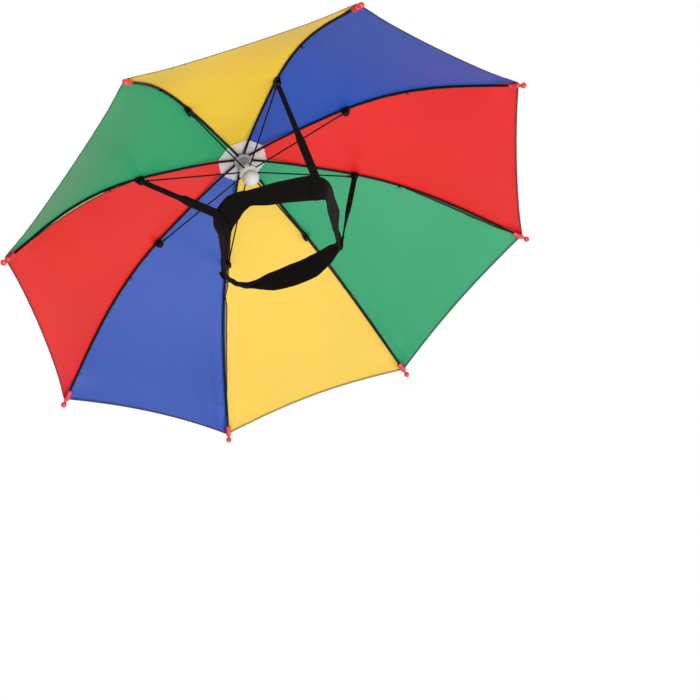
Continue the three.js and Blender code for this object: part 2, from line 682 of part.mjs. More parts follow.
add('shaft', shaftGeometry(), whitePlastic);
add('crown_notch', notchGeometry(), whitePlastic);
add('runner', runnerGeometry(), whitePlastic);
add('lower_knob', knobGeometry(), whitePlastic);
add('crown_disc', discGeometry(), clearPlastic);
add('finial', finialGeometry(), whitePlastic);
add('headband', bandGeometry(), blackElastic);
STRAPS.forEach((strap, place) => add(`strap_${place + 1}`, strapGeometry(strap), blackElastic));

export default hat;
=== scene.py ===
import math

import bmesh
import bpy
import numpy as np
from mathutils import Matrix, Vector


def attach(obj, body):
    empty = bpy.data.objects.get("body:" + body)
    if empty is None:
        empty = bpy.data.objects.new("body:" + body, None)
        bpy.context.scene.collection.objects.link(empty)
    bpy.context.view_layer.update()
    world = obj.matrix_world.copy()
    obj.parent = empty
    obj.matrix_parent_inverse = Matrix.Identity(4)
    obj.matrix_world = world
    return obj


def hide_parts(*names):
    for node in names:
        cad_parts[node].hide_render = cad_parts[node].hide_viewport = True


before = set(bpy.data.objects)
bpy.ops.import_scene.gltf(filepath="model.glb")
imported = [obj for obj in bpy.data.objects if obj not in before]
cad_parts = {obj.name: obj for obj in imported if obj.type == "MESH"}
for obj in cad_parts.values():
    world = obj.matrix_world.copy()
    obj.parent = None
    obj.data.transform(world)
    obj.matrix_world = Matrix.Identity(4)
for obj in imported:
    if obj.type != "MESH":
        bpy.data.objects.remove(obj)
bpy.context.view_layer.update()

# Umbrella hat, open, seen from underneath. Lengths are worked out in millimetres, in the
# frame of the solids, and every mesh is written in metres.
MM = 0.001
RIBS = 8
STEP = 2 * math.pi / RIBS
TIP_RADIUS = 260.0
CANOPY_RISE = 134.0
RIM_DROP = 16.0
RIB_RADIUS = 1.1
EDGE_HOLLOW = 9.0
PANEL_SAG = 2.0
GAP = 0.3
RIB_CLEARANCE = 0.35
CAP_SLEEVE_LENGTH = 9.8
CAP_SLEEVE_RADIUS = 2.7
CAP_NECK_LENGTH = 4.2
CAP_NECK_RADIUS = 1.3
CAP_BALL_RADIUS = 2.75
CAP_BORE_DEPTH = 7.6
CLOTH_OVER_CAP = 8.5
CAP_LEAD = 8.0
CROWN_HOLE_RADIUS = 7.0
DISC_RADIUS = 25.5
DISC_THICKNESS = 1.0
CLIP_RADIUS = 112.0
BOSS_RADIUS = 3.3
BOSS_DROP = 3.9
CLIP_WIDTH = 5.2
BAND_RADIUS = 62.0
BAND_DIP = 11.0
BAND_WIDTH = 25.0
BAND_THICKNESS = 2.0
STRAP_WIDTH = 11.0
STRAP_THICKNESS = 1.3
STRAP_LOOP_WIDTH = 5.5
STRAP_LOOP_SHARE = 0.5
STRAP_FLARE_SHARE = 0.12
STRAP_LAP_SHARE = 0.88
STRAP_TURN = 25.0
RUNNER_BELOW_CROWN = 20.0

RIB_BOW = [
    (0.0, 1.0), (0.1, 0.972), (0.2, 0.931), (0.3, 0.879), (0.4, 0.823), (0.5, 0.751),
    (0.6, 0.654), (0.7, 0.527), (0.8, 0.369), (0.9, 0.187), (1.0, 0.0),
]
PANELS = [
    ("green", 0.5), ("yellow", 0.9), ("blue", 0.65), ("red", 0.4),
    ("green", 0.25), ("yellow", 0.35), ("blue", 0.35), ("red", 0.3),
]
# turn, out, up, flare, width, thick, as in the solids
BAND_COURSE = [
    (8, 1.0, -0.09, 20, 0.5, 2.3), (19, 0.98, 0.0, 12, 0.85, 1.4),
    (41, 0.96, 0.27, -6, 1, 1), (62, 0.95, 0.55, -8, 1, 1), (83, 1.01, 0.73, 4, 1, 1),
    (99, 1.08, 0.82, 22, 0.62, 1.8), (112, 1.11, 0.91, 26, 0.45, 2.2),
    (125, 1.08, 1.0, 8, 0.42, 2.3), (146, 0.92, 0.91, -8, 0.75, 1.3),
    (170, 0.87, 0.77, 4, 1, 1), (183, 0.92, 0.68, 18, 1, 1), (197, 0.99, 0.61, 23, 1, 1),
    (213, 1.02, 0.5, 20, 1, 1), (228, 1.03, 0.18, 6, 0.72, 1.35),
    (243, 0.98, -0.18, 2, 1, 1), (260, 1.0, -0.55, 10, 1, 1),
    (281, 1.11, -0.92, 25, 1, 1), (290, 1.12, -1.0, 30, 0.8, 1.2),
    (307, 0.94, -0.82, 37, 0.82, 1.2), (333, 0.86, -0.45, 38, 0.88, 1),
    (355, 0.9, -0.18, 22, 0.75, 1.5),
]
# rib, turn of its seat, width share, twist share, and where the twist starts and ends
STRAPS = [(1, 8, 0.5, -2.6, 0.3, 0.92), (3, 125, 0.5, 1, 0.1, 0.8),
          (5, 197, 0.86, 0.1, 0.1, 0.8), (7, 281, 0.75, -0.9, 0.1, 0.8)]


# Helpers
def smooth(value, low, high):
    t = np.clip((value - low) / (high - low), 0, 1)
    return t * t * (3 - 2 * t)


def unit(v):
    return v / np.linalg.norm(v, axis=-1, keepdims=True)


def catmull(points, closed, per_span):
    """Points along a centripetal Catmull-Rom curve, per_span to each span."""
    points = np.asarray(points, float)
    count = len(points)
    spans = count if closed else count - 1
    found = []
    for span in range(spans):
        p1, p2 = points[span], points[(span + 1) % count]
        p0 = points[span - 1] if closed or span > 0 else 2 * points[0] - points[1]
        last = closed or span + 2 < count
        p3 = points[(span + 2) % count] if last else 2 * points[-1] - points[-2]
        d0, d1, d2 = (np.sum((b - a) ** 2) ** 0.25 for a, b in ((p0, p1), (p1, p2), (p2, p3)))
        t1 = ((p1 - p0) / d0 - (p2 - p0) / (d0 + d1) + (p2 - p1) / d1) * d1
        t2 = ((p2 - p1) / d1 - (p3 - p1) / (d1 + d2) + (p3 - p2) / d2) * d1
        w = (np.arange(per_span) / per_span)[:, None]
        found.append(p1 + t1 * w + (-3 * p1 + 3 * p2 - 2 * t1 - t2) * w**2
                     + (2 * p1 - 2 * p2 + t1 + t2) * w**3)
    if not closed:
        found.append(points[-1:])
    return np.concatenate(found)


def added(name, data):
    """A new object for a mesh, light or camera, in the scene."""
    piece = bpy.data.objects.new(name, data)
    bpy.context.scene.collection.objects.link(piece)
    return piece


def make(name, verts, faces, material, body="root", uv=None, smooth_shade=True):
    """A mesh from points in millimetres, riding on a body."""
    mesh = bpy.data.meshes.new(name)
    mesh.from_pydata((np.asarray(verts, float) * MM).tolist(), [], faces)
    if uv is not None:
        layer = mesh.uv_layers.new(name="Cloth")
        index = np.empty(len(mesh.loops), dtype=np.int32)
        mesh.loops.foreach_get("vertex_index", index)
        layer.data.foreach_set("uv", (np.asarray(uv, float)[index] * MM).ravel())
    mesh.validate()
    mesh.update()
    mesh.materials.append(material)
    if smooth_shade:
        mesh.polygons.foreach_set("use_smooth", [True] * len(mesh.polygons))
    piece = added(name, mesh)
    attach(piece, body)
    return piece


def turns(count):
    """Even angles once round."""
    return np.arange(count) / count * 2 * math.pi


def grid_faces(rows, columns, closed_rows=False, closed_columns=False):
    faces = []
    for row in range(rows if closed_rows else rows - 1):
        here, there = row * columns, ((row + 1) % rows) * columns
        for column in range(columns if closed_columns else columns - 1):
            after = (column + 1) % columns
            faces.append((here + column, here + after, there + after, there + column))
    return faces


def facing_out(piece):
    """Turns a closed piece's faces outward."""
    built = bmesh.new()
    built.from_mesh(piece.data)
    bmesh.ops.recalc_face_normals(built, faces=built.faces)
    built.to_mesh(piece.data)
    built.free()
    return piece


def sweep(rings, closed=False):
    """Vertices and faces of a tube through rings, each an array of points round a section."""
    rings = np.asarray(rings, float)
    rows, columns = rings.shape[:2]
    faces = grid_faces(rows, columns, closed, True)
    if not closed:
        faces.append(tuple(range(columns))[::-1])
        faces.append(tuple(range((rows - 1) * columns, rows * columns)))
    return rings.reshape(-1, 3), faces


def lathe(profile, sides, matrix=None):
    """A turned form about +Z from (radius, height) pairs, closed where the radius is 0."""
    angles = turns(sides)
    verts, faces, rows = [], [], []
    for radius, height in profile:
        around = [0.0] if radius < 1e-6 else angles
        rows.append(list(range(len(verts), len(verts) + len(around))))
        verts += [(radius * math.cos(angle), radius * math.sin(angle), height)
                  for angle in around]
    for low, high in zip(rows, rows[1:]):
        for side in range(sides):
            after = (side + 1) % sides
            corners = (low[side % len(low)], low[after % len(low)],
                       high[after % len(high)], high[side % len(high)])
            face = tuple(dict.fromkeys(corners))
            if len(face) > 2:
                faces.append(face)
    verts = np.array(verts, float)
    if matrix is not None:
        verts = verts @ np.array(matrix.to_3x3()).T + np.array(matrix.translation)
    return verts, faces


def rounded(profile, radius, steps=4):
    """A profile with its inner corners rounded; a row's third number overrides the radius."""
    points = [np.array(p[:2], float) for p in profile]
    radii = [p[2] if len(p) > 2 else radius for p in profile]
    found = [points[0]]
    for before, here, after, r in zip(points, points[1:], points[2:], radii[1:]):
        to_before, to_after = before - here, after - here
        la, lb = np.linalg.norm(to_before), np.linalg.norm(to_after)
        r = min(r, la * 0.45, lb * 0.45)
        if r < 1e-4:
            found.append(here)
            continue
        start, end = here + to_before / la * r, here + to_after / lb * r
        for step in range(steps + 1):
            t = step / steps
            found.append((1 - t) ** 2 * start + 2 * t * (1 - t) * here + t * t * end)
    found.append(points[-1])
    return [tuple(p) for p in found]


def dome(centre, radius, start, end, steps):
    """Profile points of an arc about a height on the axis, from a start angle to the axis."""
    angles = np.linspace(start, end, steps + 1).tolist()
    return [(radius * math.sin(angle), centre + radius * math.cos(angle))
            for angle in angles[:-1]] + [(0, centre + radius * math.cos(end))]


def joined(parts):
    """Several (verts, faces) as one."""
    verts, faces, start = [], [], 0
    for part_verts, part_faces in parts:
        verts.append(np.asarray(part_verts, float))
        faces += [tuple(i + start for i in face) for face in part_faces]
        start += len(part_verts)
    return np.concatenate(verts), faces


def fit(name, shape, material, node, uv=None, smooth_shade=True):
    """A closed piece that stands for a node of the solids, which it hides."""
    piece = facing_out(make(name, *shape, material, uv=uv, smooth_shade=smooth_shade))
    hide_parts(node)


# Materials
def socket_set(node, **values):
    for name, value in values.items():
        node.inputs[name.replace("_", " ")].default_value = value


class Nodes:
    """A material's node tree, with short calls for the nodes used here."""

    def __init__(self, name):
        self.material = bpy.data.materials.new(name)
        self.material.use_nodes = True
        self.tree = self.material.node_tree
        self.tree.nodes.clear()
        self.out = self.tree.nodes.new("ShaderNodeOutputMaterial")
        self.coords = self.tree.nodes.new("ShaderNodeTexCoord")

    def add(self, kind, **settings):
        node = self.tree.nodes.new(kind)
        for key, value in settings.items():
            setattr(node, key, value)
        return node

    def link(self, source, target):
        self.tree.links.new(source, target)

    def math(self, operation, *values):
        node = self.add("ShaderNodeMath", operation=operation)
        for place, value in enumerate(values):
            if isinstance(value, (int, float)):
                node.inputs[place].default_value = value
            else:
                self.link(value, node.inputs[place])
        return node.outputs[0]

    def noise(self, scale, detail, rough, stretch=None):
        node = self.add("ShaderNodeTexNoise")
        socket_set(node, Scale=scale, Detail=detail, Roughness=rough)
        vector = self.coords.outputs["Object"]
        if stretch:
            mapping = self.add("ShaderNodeMapping")
            mapping.inputs["Scale"].default_value = stretch
            self.link(vector, mapping.inputs["Vector"])
            vector = mapping.outputs["Vector"]
        self.link(vector, node.inputs["Vector"])
        return node.outputs["Fac"]

    def span(self, value, low, high, from_low=0.0, from_high=1.0):
        node = self.add("ShaderNodeMapRange")
        socket_set(node, To_Min=low, To_Max=high, From_Min=from_low, From_Max=from_high)
        self.link(value, node.inputs["Value"])
        return node.outputs["Result"]

    def vary(self, noise, low, high):
        """The middle range of a noise, spread from low to high."""
        return self.span(noise, low, high, 0.3, 0.7)

    def shade(self, colour, factor):
        """A colour with its brightness scaled by a factor socket."""
        node = self.add("ShaderNodeVectorMath", operation="SCALE")
        node.inputs[0].default_value = colour[:3]
        self.link(factor, node.inputs["Scale"])
        return node.outputs[0]

    def bump(self, height, strength, distance, under=None):
        node = self.add("ShaderNodeBump")
        socket_set(node, Strength=strength, Distance=distance)
        self.link(height, node.inputs["Height"])
        if under is not None:
            self.link(under, node.inputs["Normal"])
        return node.outputs["Normal"]

    def uv(self):
        split = self.add("ShaderNodeSeparateXYZ")
        self.link(self.coords.outputs["UV"], split.inputs[0])
        return split.outputs["X"], split.outputs["Y"]

    def wave(self, value, pitch):
        """A sine of a length in metres, from 0 to 1, one hill in each pitch."""
        turn = self.math("MULTIPLY", value, 2 * math.pi / pitch)
        return self.math("MULTIPLY_ADD", self.math("SINE", turn), 0.5, 0.5)

    def surface(self, paint, normal=None, rough=None, **values):
        """A principled shader fed with a colour and, where given, a normal and a roughness."""
        node = self.add("ShaderNodeBsdfPrincipled")
        socket_set(node, **values)
        for source, name in ((paint, "Base Color"), (normal, "Normal"), (rough, "Roughness")):
            if source is not None:
                self.link(source, node.inputs[name])
        return node.outputs[0]

    def finish(self, shader):
        self.link(shader, self.out.inputs["Surface"])
        return self.material


def linear(red, green, blue):
    """A linear colour from display values up to 255."""
    def one(v):
        v /= 255
        return v / 12.92 if v <= 0.04045 else ((v + 0.055) / 1.055) ** 2.4
    return (one(red), one(green), one(blue), 1.0)


CLOTH_THROUGH = 0.3
CLOTH_SHEEN = 0.08
CLOTH_PITCH = 0.0009
ELASTIC_CORD_PITCH = 0.0016
ELASTIC_PICK_PITCH = 0.0011


def cloth_material(name, colour):
    """Thin plain-weave polyester: warp and weft threads, soft sheen, light shining through."""
    n = Nodes(name)
    u, v = n.uv()
    weave = n.math("MULTIPLY", n.wave(u, CLOTH_PITCH), n.wave(v, CLOTH_PITCH))
    broad = n.vary(n.noise(7, 3, 0.55), 0.95, 1.05)
    slub = n.vary(n.noise(420, 2, 0.6, (1, 1, 0.2)), 0.975, 1.025)
    tone = n.math("MULTIPLY", n.math("MULTIPLY", broad, slub), n.span(weave, 0.97, 1.03))
    # Painted shade: the stored edge values make the cloth darker beside the seams and at the rim.
    near = n.add("ShaderNodeAttribute", attribute_name="edge")
    tone = n.math("MULTIPLY", tone, n.span(near.outputs["Fac"], 1.0, 0.28, 0.0, 4.0))
    paint = n.shade(colour, tone)
    soft = n.bump(n.noise(38, 3, 0.5), 0.18, 0.0012)
    shader = n.surface(paint, n.bump(weave, 0.25, 0.00012, soft),
                       n.vary(n.noise(55, 3, 0.6), 0.34, 0.42), Sheen_Weight=CLOTH_SHEEN,
                       Sheen_Roughness=0.45, Specular_IOR_Level=0.5)
    lit = n.add("ShaderNodeBsdfTranslucent")
    n.link(paint, lit.inputs["Color"])
    mix = n.add("ShaderNodeMixShader")
    mix.inputs["Fac"].default_value = CLOTH_THROUGH
    n.link(shader, mix.inputs[1])
    n.link(lit.outputs[0], mix.inputs[2])
    return n.finish(mix.outputs[0])


def thread_material(name, colour, sheen=0.15):
    """Twisted sewing thread."""
    n = Nodes(name)
    twist = n.noise(2600, 2, 0.6)
    paint = n.shade(colour, n.vary(twist, 0.8, 1.15))
    return n.finish(n.surface(paint, n.bump(twist, 0.5, 0.0002), Sheen_Weight=sheen,
                              Sheen_Roughness=0.5, Roughness=0.8, Specular_IOR_Level=0.1))


def metal_material(name):
    """Black lacquered steel wire with fine drawing marks and rubbed spots."""
    n = Nodes(name)
    marks = n.noise(900, 3, 0.6)
    mix = n.add("ShaderNodeMix", data_type="RGBA")
    n.link(n.span(n.noise(70, 4, 0.7), 0.0, 1.0, 0.62, 0.78), mix.inputs["Factor"])
    mix.inputs["A"].default_value = linear(3, 3, 4)
    mix.inputs["B"].default_value = linear(14, 14, 16)
    return n.finish(n.surface(mix.outputs["Result"], n.bump(marks, 0.15, 0.0001),
                              n.vary(marks, 0.3, 0.5), Specular_IOR_Level=0.12))


def plastic_material(name, colour, rough, grain, dust=0.06, gloss=0.5):
    """Moulded plastic: faint mottling and soft orange-peel."""
    n = Nodes(name)
    mottle = n.noise(160, 4, 0.6)
    paint = n.shade(colour, n.vary(mottle, 1 - dust, 1 + dust * 0.5))
    return n.finish(n.surface(paint, n.bump(n.noise(1500, 2, 0.5), grain, 0.0002),
                              n.vary(mottle, rough - 0.07, rough + 0.09),
                              Specular_IOR_Level=gloss))


def milky_material(name):
    """Thin milky plastic sheet that the cloth shows through."""
    n = Nodes(name)
    paint = n.shade((0.62, 0.63, 0.65, 1.0), n.vary(n.noise(130, 4, 0.6), 0.93, 1.04))
    return n.finish(n.surface(paint, n.bump(n.noise(500, 3, 0.6), 0.12, 0.0004),
                              Roughness=0.32, Alpha=0.43, Specular_IOR_Level=0.5))


def elastic_material(name):
    """Black woven elastic: lengthwise cords, crosswise picks and a little fuzz."""
    n = Nodes(name)
    u, v = n.uv()
    cords, picks = n.wave(u, ELASTIC_CORD_PITCH), n.wave(v, ELASTIC_PICK_PITCH)
    weave = n.math("MULTIPLY", n.math("POWER", cords, 0.6), n.span(picks, 0.65, 1.0))
    fuzz = n.noise(900, 3, 0.7)
    wear = n.vary(n.noise(45, 3, 0.6), 0.85, 1.2)
    tone = n.math("MULTIPLY", n.span(weave, 0.65, 1.15), wear)
    paint = n.shade((0.0016, 0.0015, 0.0012, 1.0),
                    n.math("MULTIPLY", tone, n.vary(fuzz, 0.8, 1.25)))
    normal = n.bump(weave, 0.7, 0.0004, n.bump(fuzz, 0.3, 0.0002))
    return n.finish(n.surface(paint, normal, Sheen_Weight=0.02, Sheen_Roughness=0.5,
                              Roughness=0.8, Specular_IOR_Level=0.08))


# The deep green seam colour is not a cloth of its own but the green cloth in shadow: painted
# shade.
CLOTH_COLOURS = {
    "green_in_shade": (0.01, 0.06, 0.022), "lilac": (0.2, 0.15, 0.22), "olive": (0.5, 0.4, 0.22),
    "green": (0.003, 0.215, 0.086), "yellow": (0.55, 0.36, 0.024),
    "blue": (0.004, 0.04, 0.265), "red": (0.5, 0.006, 0.006),
}
CLOTHS = {name: cloth_material(f"cloth_{name}", colour)
          for name, colour in CLOTH_COLOURS.items()}
rib_steel = metal_material("rib_steel")
clip_plastic = plastic_material("clip_plastic", linear(3, 3, 4), 0.45, 0.12, gloss=0.1)
cap_red = plastic_material("cap_red", (0.42, 0.012, 0.02, 1.0), 0.3, 0.05)
hub_white = plastic_material("hub_white", (0.45, 0.46, 0.445, 1.0), 0.38, 0.05, dust=0.04)
# The shaft and notch are the same white plastic as the rest of the hub, made darker: painted
# shade where they sit in shadow.
hub_painted_shade = plastic_material("hub_painted_shade", (0.235, 0.23, 0.24, 1.0), 0.42, 0.06, dust=0.05)
disc_clear = milky_material("disc_clear")
elastic = elastic_material("elastic")
dark_thread = thread_material("dark_thread", linear(30, 24, 18))
black_thread = thread_material("black_thread", (0.0012, 0.0011, 0.001, 1.0), 0.02)


# Ribs and cloth
rib_line = catmull([(out * TIP_RADIUS, up * CANOPY_RISE - RIM_DROP) for out, up in RIB_BOW],
                   False, 200)
rib_run = np.concatenate([[0], np.cumsum(np.linalg.norm(np.diff(rib_line, axis=0), axis=1))])
RIB_LENGTH = rib_run[-1]
rib_share = rib_run / RIB_LENGTH
rib_tangent = unit(np.gradient(rib_line, rib_run, axis=0))


def share_at(radius):
    return float(np.interp(radius, rib_line[:, 0], rib_share))


def sideways_of(azimuth):
    return np.array([-math.sin(azimuth), math.cos(azimuth), 0])


def rib_points(share, azimuth, lift):
    """Points a distance above the rib's middle line, at a share of its length."""
    share = np.asarray(share, float)
    radius, height = (np.interp(share, rib_share, rib_line[:, k]) for k in (0, 1))
    along, rise = (np.interp(share, rib_share, rib_tangent[:, k]) for k in (0, 1))
    radius = radius - rise * lift
    height = height + along * lift
    return np.stack(np.broadcast_arrays(radius * np.cos(azimuth), radius * np.sin(azimuth),
                                        height), -1)


CAP_LENGTH = CAP_SLEEVE_LENGTH + CAP_NECK_LENGTH
CAP_MOUTH = 1 - (CAP_LENGTH + GAP) / RIB_LENGTH
CLOTH_END = CAP_MOUTH + CLOTH_OVER_CAP / RIB_LENGTH
RIB_END = 1 - (CAP_LENGTH - CAP_BORE_DEPTH + GAP) / RIB_LENGTH
CLOTH_START = share_at(CROWN_HOLE_RADIUS)
DISC_EDGE = share_at(DISC_RADIUS)
DISC_LIFT = RIB_RADIUS + RIB_CLEARANCE
CLOTH_NEAR_CAP = CAP_MOUTH - 2.5 * CAP_LEAD / RIB_LENGTH
CAP_TENT = 22.0
SHEET_LIFT = -0.2
SHEET_AT_CROWN = 1.15


def chord_at(share):
    """How far a rib is from the next one, straight across, at a share of its length."""
    return 2 * np.interp(share, rib_share, rib_line[:, 0]) * math.sin(STEP / 2)


def cloth_lift(share, across=0.0):
    """How far the cloth lies above a rib's middle line: over the disc, and over the caps."""
    over_disc = (DISC_THICKNESS + GAP) * (1 - smooth(share, DISC_EDGE * 1.15, DISC_EDGE * 2.4))
    aside = np.minimum(across, 1 - across) * chord_at(share)
    beside_cap = np.exp(-(aside / CAP_TENT) ** 2)
    over_cap = (CAP_SLEEVE_RADIUS - RIB_RADIUS) * smooth(share, CLOTH_NEAR_CAP,
                                                         CAP_MOUTH - GAP / RIB_LENGTH)
    on_rib = SHEET_LIFT + SHEET_AT_CROWN * (1 - smooth(share, DISC_EDGE * 0.5, DISC_EDGE * 1.3))
    return DISC_LIFT + over_disc + over_cap * beside_cap + on_rib


def cloth_points(panel, share, across, lift):
    """Points of a panel: shares of the rib's length and of the way to the next rib."""
    share, across, lift = np.broadcast_arrays(np.asarray(share, float), across, lift)
    bow = 4 * across * (1 - across)
    reach = (share - CLOTH_START) / (CLOTH_END - CLOTH_START)
    hollow = PANELS[panel][1] * EDGE_HOLLOW / RIB_LENGTH
    cut = share - hollow * bow * np.clip(reach, 0, None) ** 3
    first = rib_points(cut, panel * STEP, lift)
    second = rib_points(cut, (panel + 1) * STEP, lift)
    place = first + (second - first) * across[..., None]
    middle = (panel + 0.5) * STEP
    inward = rib_points(cut, middle, 0) - rib_points(cut, middle, 1)
    return place + inward * (PANEL_SAG * bow * smooth(reach, 0.1, 0.6))[..., None]


# The cloth's puckers, ripples and pulls: how deep they are and how far they reach, in mm
PUCKER_DEPTH, PUCKER_REACH = 0.2, 5
RIM_RIPPLE_DEPTH, RIM_RIPPLE_REACH, RIM_RIPPLE_PITCH = 0.3, 12, 31
PULL_DEPTH = 0.35
SLOW_DEPTH = 0.25


def ripple(panel, share, across):
    """Fine puckers beside the seams, ripples at the rim and slow unevenness, in mm."""
    run = share * RIB_LENGTH
    chord = chord_at(share)
    left, right = across * chord, (1 - across) * chord
    rim = (CLOTH_END - share) * RIB_LENGTH
    quiet = smooth(share, DISC_EDGE, DISC_EDGE * 2.5) * smooth(rim, 0, 3)
    quiet = quiet * smooth(np.minimum(left, right), 0, 2.5)
    phase = panel * 1.7
    found = 0.0
    for side, pitch, slow_pitch, shift in ((left, 8.3, 29, phase), (right, 9.1, 23, 2 * phase)):
        found = found + PUCKER_DEPTH * np.exp(-side / PUCKER_REACH) * np.sin(
            2 * math.pi * run / pitch + shift + 1.6 * np.sin(run / slow_pitch + phase))
    found += RIM_RIPPLE_DEPTH * np.exp(-rim / RIM_RIPPLE_REACH) * np.sin(
        2 * math.pi * across * chord / RIM_RIPPLE_PITCH + phase)
    near = np.minimum(left, right)
    pull = np.exp(-rim / 60) * (np.exp(-left / 26) + np.exp(-right / 26))
    found += PULL_DEPTH * pull * np.sin(near / 2.6 + phase) * smooth(near, 0, 6)
    slow = np.sin(run / 37 + phase) * np.sin(across * 5.1 + phase * 2)
    return quiet * (found + SLOW_DEPTH * slow * smooth(near, 0, 25))


def uneven(count, pinch=0.6):
    t = np.linspace(0, 1, count)
    return t - pinch * np.sin(2 * math.pi * t) / (2 * math.pi)


def store_painted_shade(piece, values):
    """Stores how much painted shade darkens each point of a cloth, which its material reads."""
    attribute = piece.data.attributes.new("edge", "FLOAT", "POINT")
    attribute.data.foreach_set("value", values)


def build_panel(panel):
    """A gore of the canopy, with its flat width, length and area in metres."""
    colour = PANELS[panel][0]
    across = uneven(45)[None, :]
    share = np.linspace(CLOTH_START, CLOTH_END, 150)[:, None]
    lift = cloth_lift(share, across) + ripple(panel, share, across)
    points = cloth_points(panel, share, across, lift)
    chord = chord_at(share)
    uv = np.stack(np.broadcast_arrays((across - 0.5) * chord, share * RIB_LENGTH), -1)
    piece = make(f"canopy_cloth_{panel + 1}", points.reshape(-1, 3),
                 grid_faces(*points.shape[:2]), CLOTHS[colour], uv=uv.reshape(-1, 2))
    near = np.minimum(across, 1 - across) * chord
    rim = (CLOTH_END - share) * RIB_LENGTH
    # Painted shade: darker beside the seams and towards the rim.
    store_painted_shade(piece, np.maximum(0.7 * np.exp(-near / 1.4), 0.6 * np.exp(-rim / 1.5)).ravel())
    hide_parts(f"canopy_panel_{panel + 1}")
    diagonal = points[1:, 1:] - points[:-1, :-1]
    crossing = points[1:, :-1] - points[:-1, 1:]
    area = float(np.linalg.norm(np.cross(diagonal, crossing), axis=-1).sum() / 2) * MM * MM
    length = float((CLOTH_END - CLOTH_START) * RIB_LENGTH) * MM
    return piece, float(chord.max()) * MM, length, area


def build_hem(panel):
    """The folded hem round the rim of a panel, its section (inset, lift) pairs in mm."""
    colour = PANELS[panel][0]
    section = [(1.7, -0.08), (1.75, -0.2), (1.6, -0.28), (1.1, -0.34), (0.5, -0.36),
               (0.0, -0.34), (-0.3, -0.15), (-0.35, 0.1), (-0.1, 0.32), (0.5, 0.36),
               (1.1, 0.34), (1.6, 0.26), (1.7, 0.08)]
    # Painted shade on the hem: heaviest round the rolled outer fold, lighter over its faces.
    hem_painted_shade = [0.4, 0.5, 0.4, 0.5, 1.0, 1.5, 1.5, 1.0, 0.5, 0.2, 0.0, 0.1, 0.25]
    inset, lift = np.array(section).T
    rings, uv = [], []
    for across in uneven(110, 0.3) * 0.996 + 0.002:
        moved = lift + 0.05 * math.sin(across * 90 + panel) * np.copysign(1, lift)
        rings.append(cloth_points(panel, CLOTH_END - inset / RIB_LENGTH, across,
                                  cloth_lift(CLOTH_END, across) + moved))
        uv += [((across - 0.5) * 190 + panel, 3 + i) for i, _ in enumerate(section)]
    piece = make(f"hem_{panel + 1}", *sweep(rings), CLOTHS[colour], uv=uv)
    store_painted_shade(piece, np.tile(hem_painted_shade, len(rings)) * 4)
    facing_out(piece)
    return piece


def stitches(name, starts, ends, radius, material):
    """Rows of short thread stitches, each a small six-sided spindle."""
    angles = turns(6)
    parts = []
    for start, end in zip(starts, ends):
        along = unit(end - start)
        side = unit(np.cross(along, (0.3, 0.2, 1.0)))
        ring = (np.cos(angles)[:, None] * side
                + np.sin(angles)[:, None] * np.cross(along, side))
        parts.append(sweep([start + (end - start) * t + ring * radius * r
                            for t, r in ((0, 0.35), (0.2, 0.95), (0.8, 0.95), (1, 0.35))]))
    piece = make(name, *joined(parts), material)
    return piece


HEM_STITCH_PITCH = 3.0
HEM_STITCH_LENGTH = 2.2
HEM_STITCH_INSET = 1.2
HEM_STITCH_RADIUS = 0.13
HEM_FACE = 0.36


def hem_stitches(panel):
    chord = float(chord_at(CLOTH_END))
    count = int(chord / HEM_STITCH_PITCH)
    middle = (np.arange(count) + 0.5) / count
    half = HEM_STITCH_LENGTH / 2 / chord
    share = CLOTH_END - HEM_STITCH_INSET / RIB_LENGTH
    starts, ends = [], []
    for lift in (-HEM_FACE, HEM_FACE):
        for side, found in ((-half, starts), (half, ends)):
            base = cloth_lift(CLOTH_END, middle) + lift
            found += list(cloth_points(panel, share, middle + side, base))
    colour = PANELS[panel][0]
    return stitches(f"hem_stitch_{panel + 1}", starts, ends, HEM_STITCH_RADIUS,
                    CLOTHS[colour])


# The seam's raw edge beside each rib: the side it lies on, 1 towards the next panel, the
# shares of the rib's length between which it shows, how far it reaches from the rib's
# middle line in millimetres, and its cloth. The deep green strip's colour is painted shade:
# the green cloth as it looks in shadow.
SEAMS = [
    (1, 0.56, 0.97, 3.9, "green_in_shade"), (-1, 0.15, 0.9, 1.9, "yellow"),
    (-1, 0.3, 0.84, 3.7, "lilac"), (-1, 0.2, 0.9, 1.7, "blue"),
    (-1, 0.4, 0.88, 4.3, "olive"), (1, 0.2, 0.9, 1.7, "yellow"),
    (1, 0.2, 0.9, 1.7, "blue"), (1, 0.3, 0.9, 1.9, "red"),
]


# The share of each rib's length where a thread ties the seam to it
TIE_SHARES = [0.54, 0.62, 0.51, 0.53, 0.5, 0.61, 0.59, 0.6]
TIE_PINCH, TIE_PINCH_REACH = 0.75, 6
SEAM_START = 0.9
SEAM_LEAST = 1.2
EDGING_DEPTH = 0.62
EDGING_RADIUS = 0.38
EDGING_PITCH = 1.6


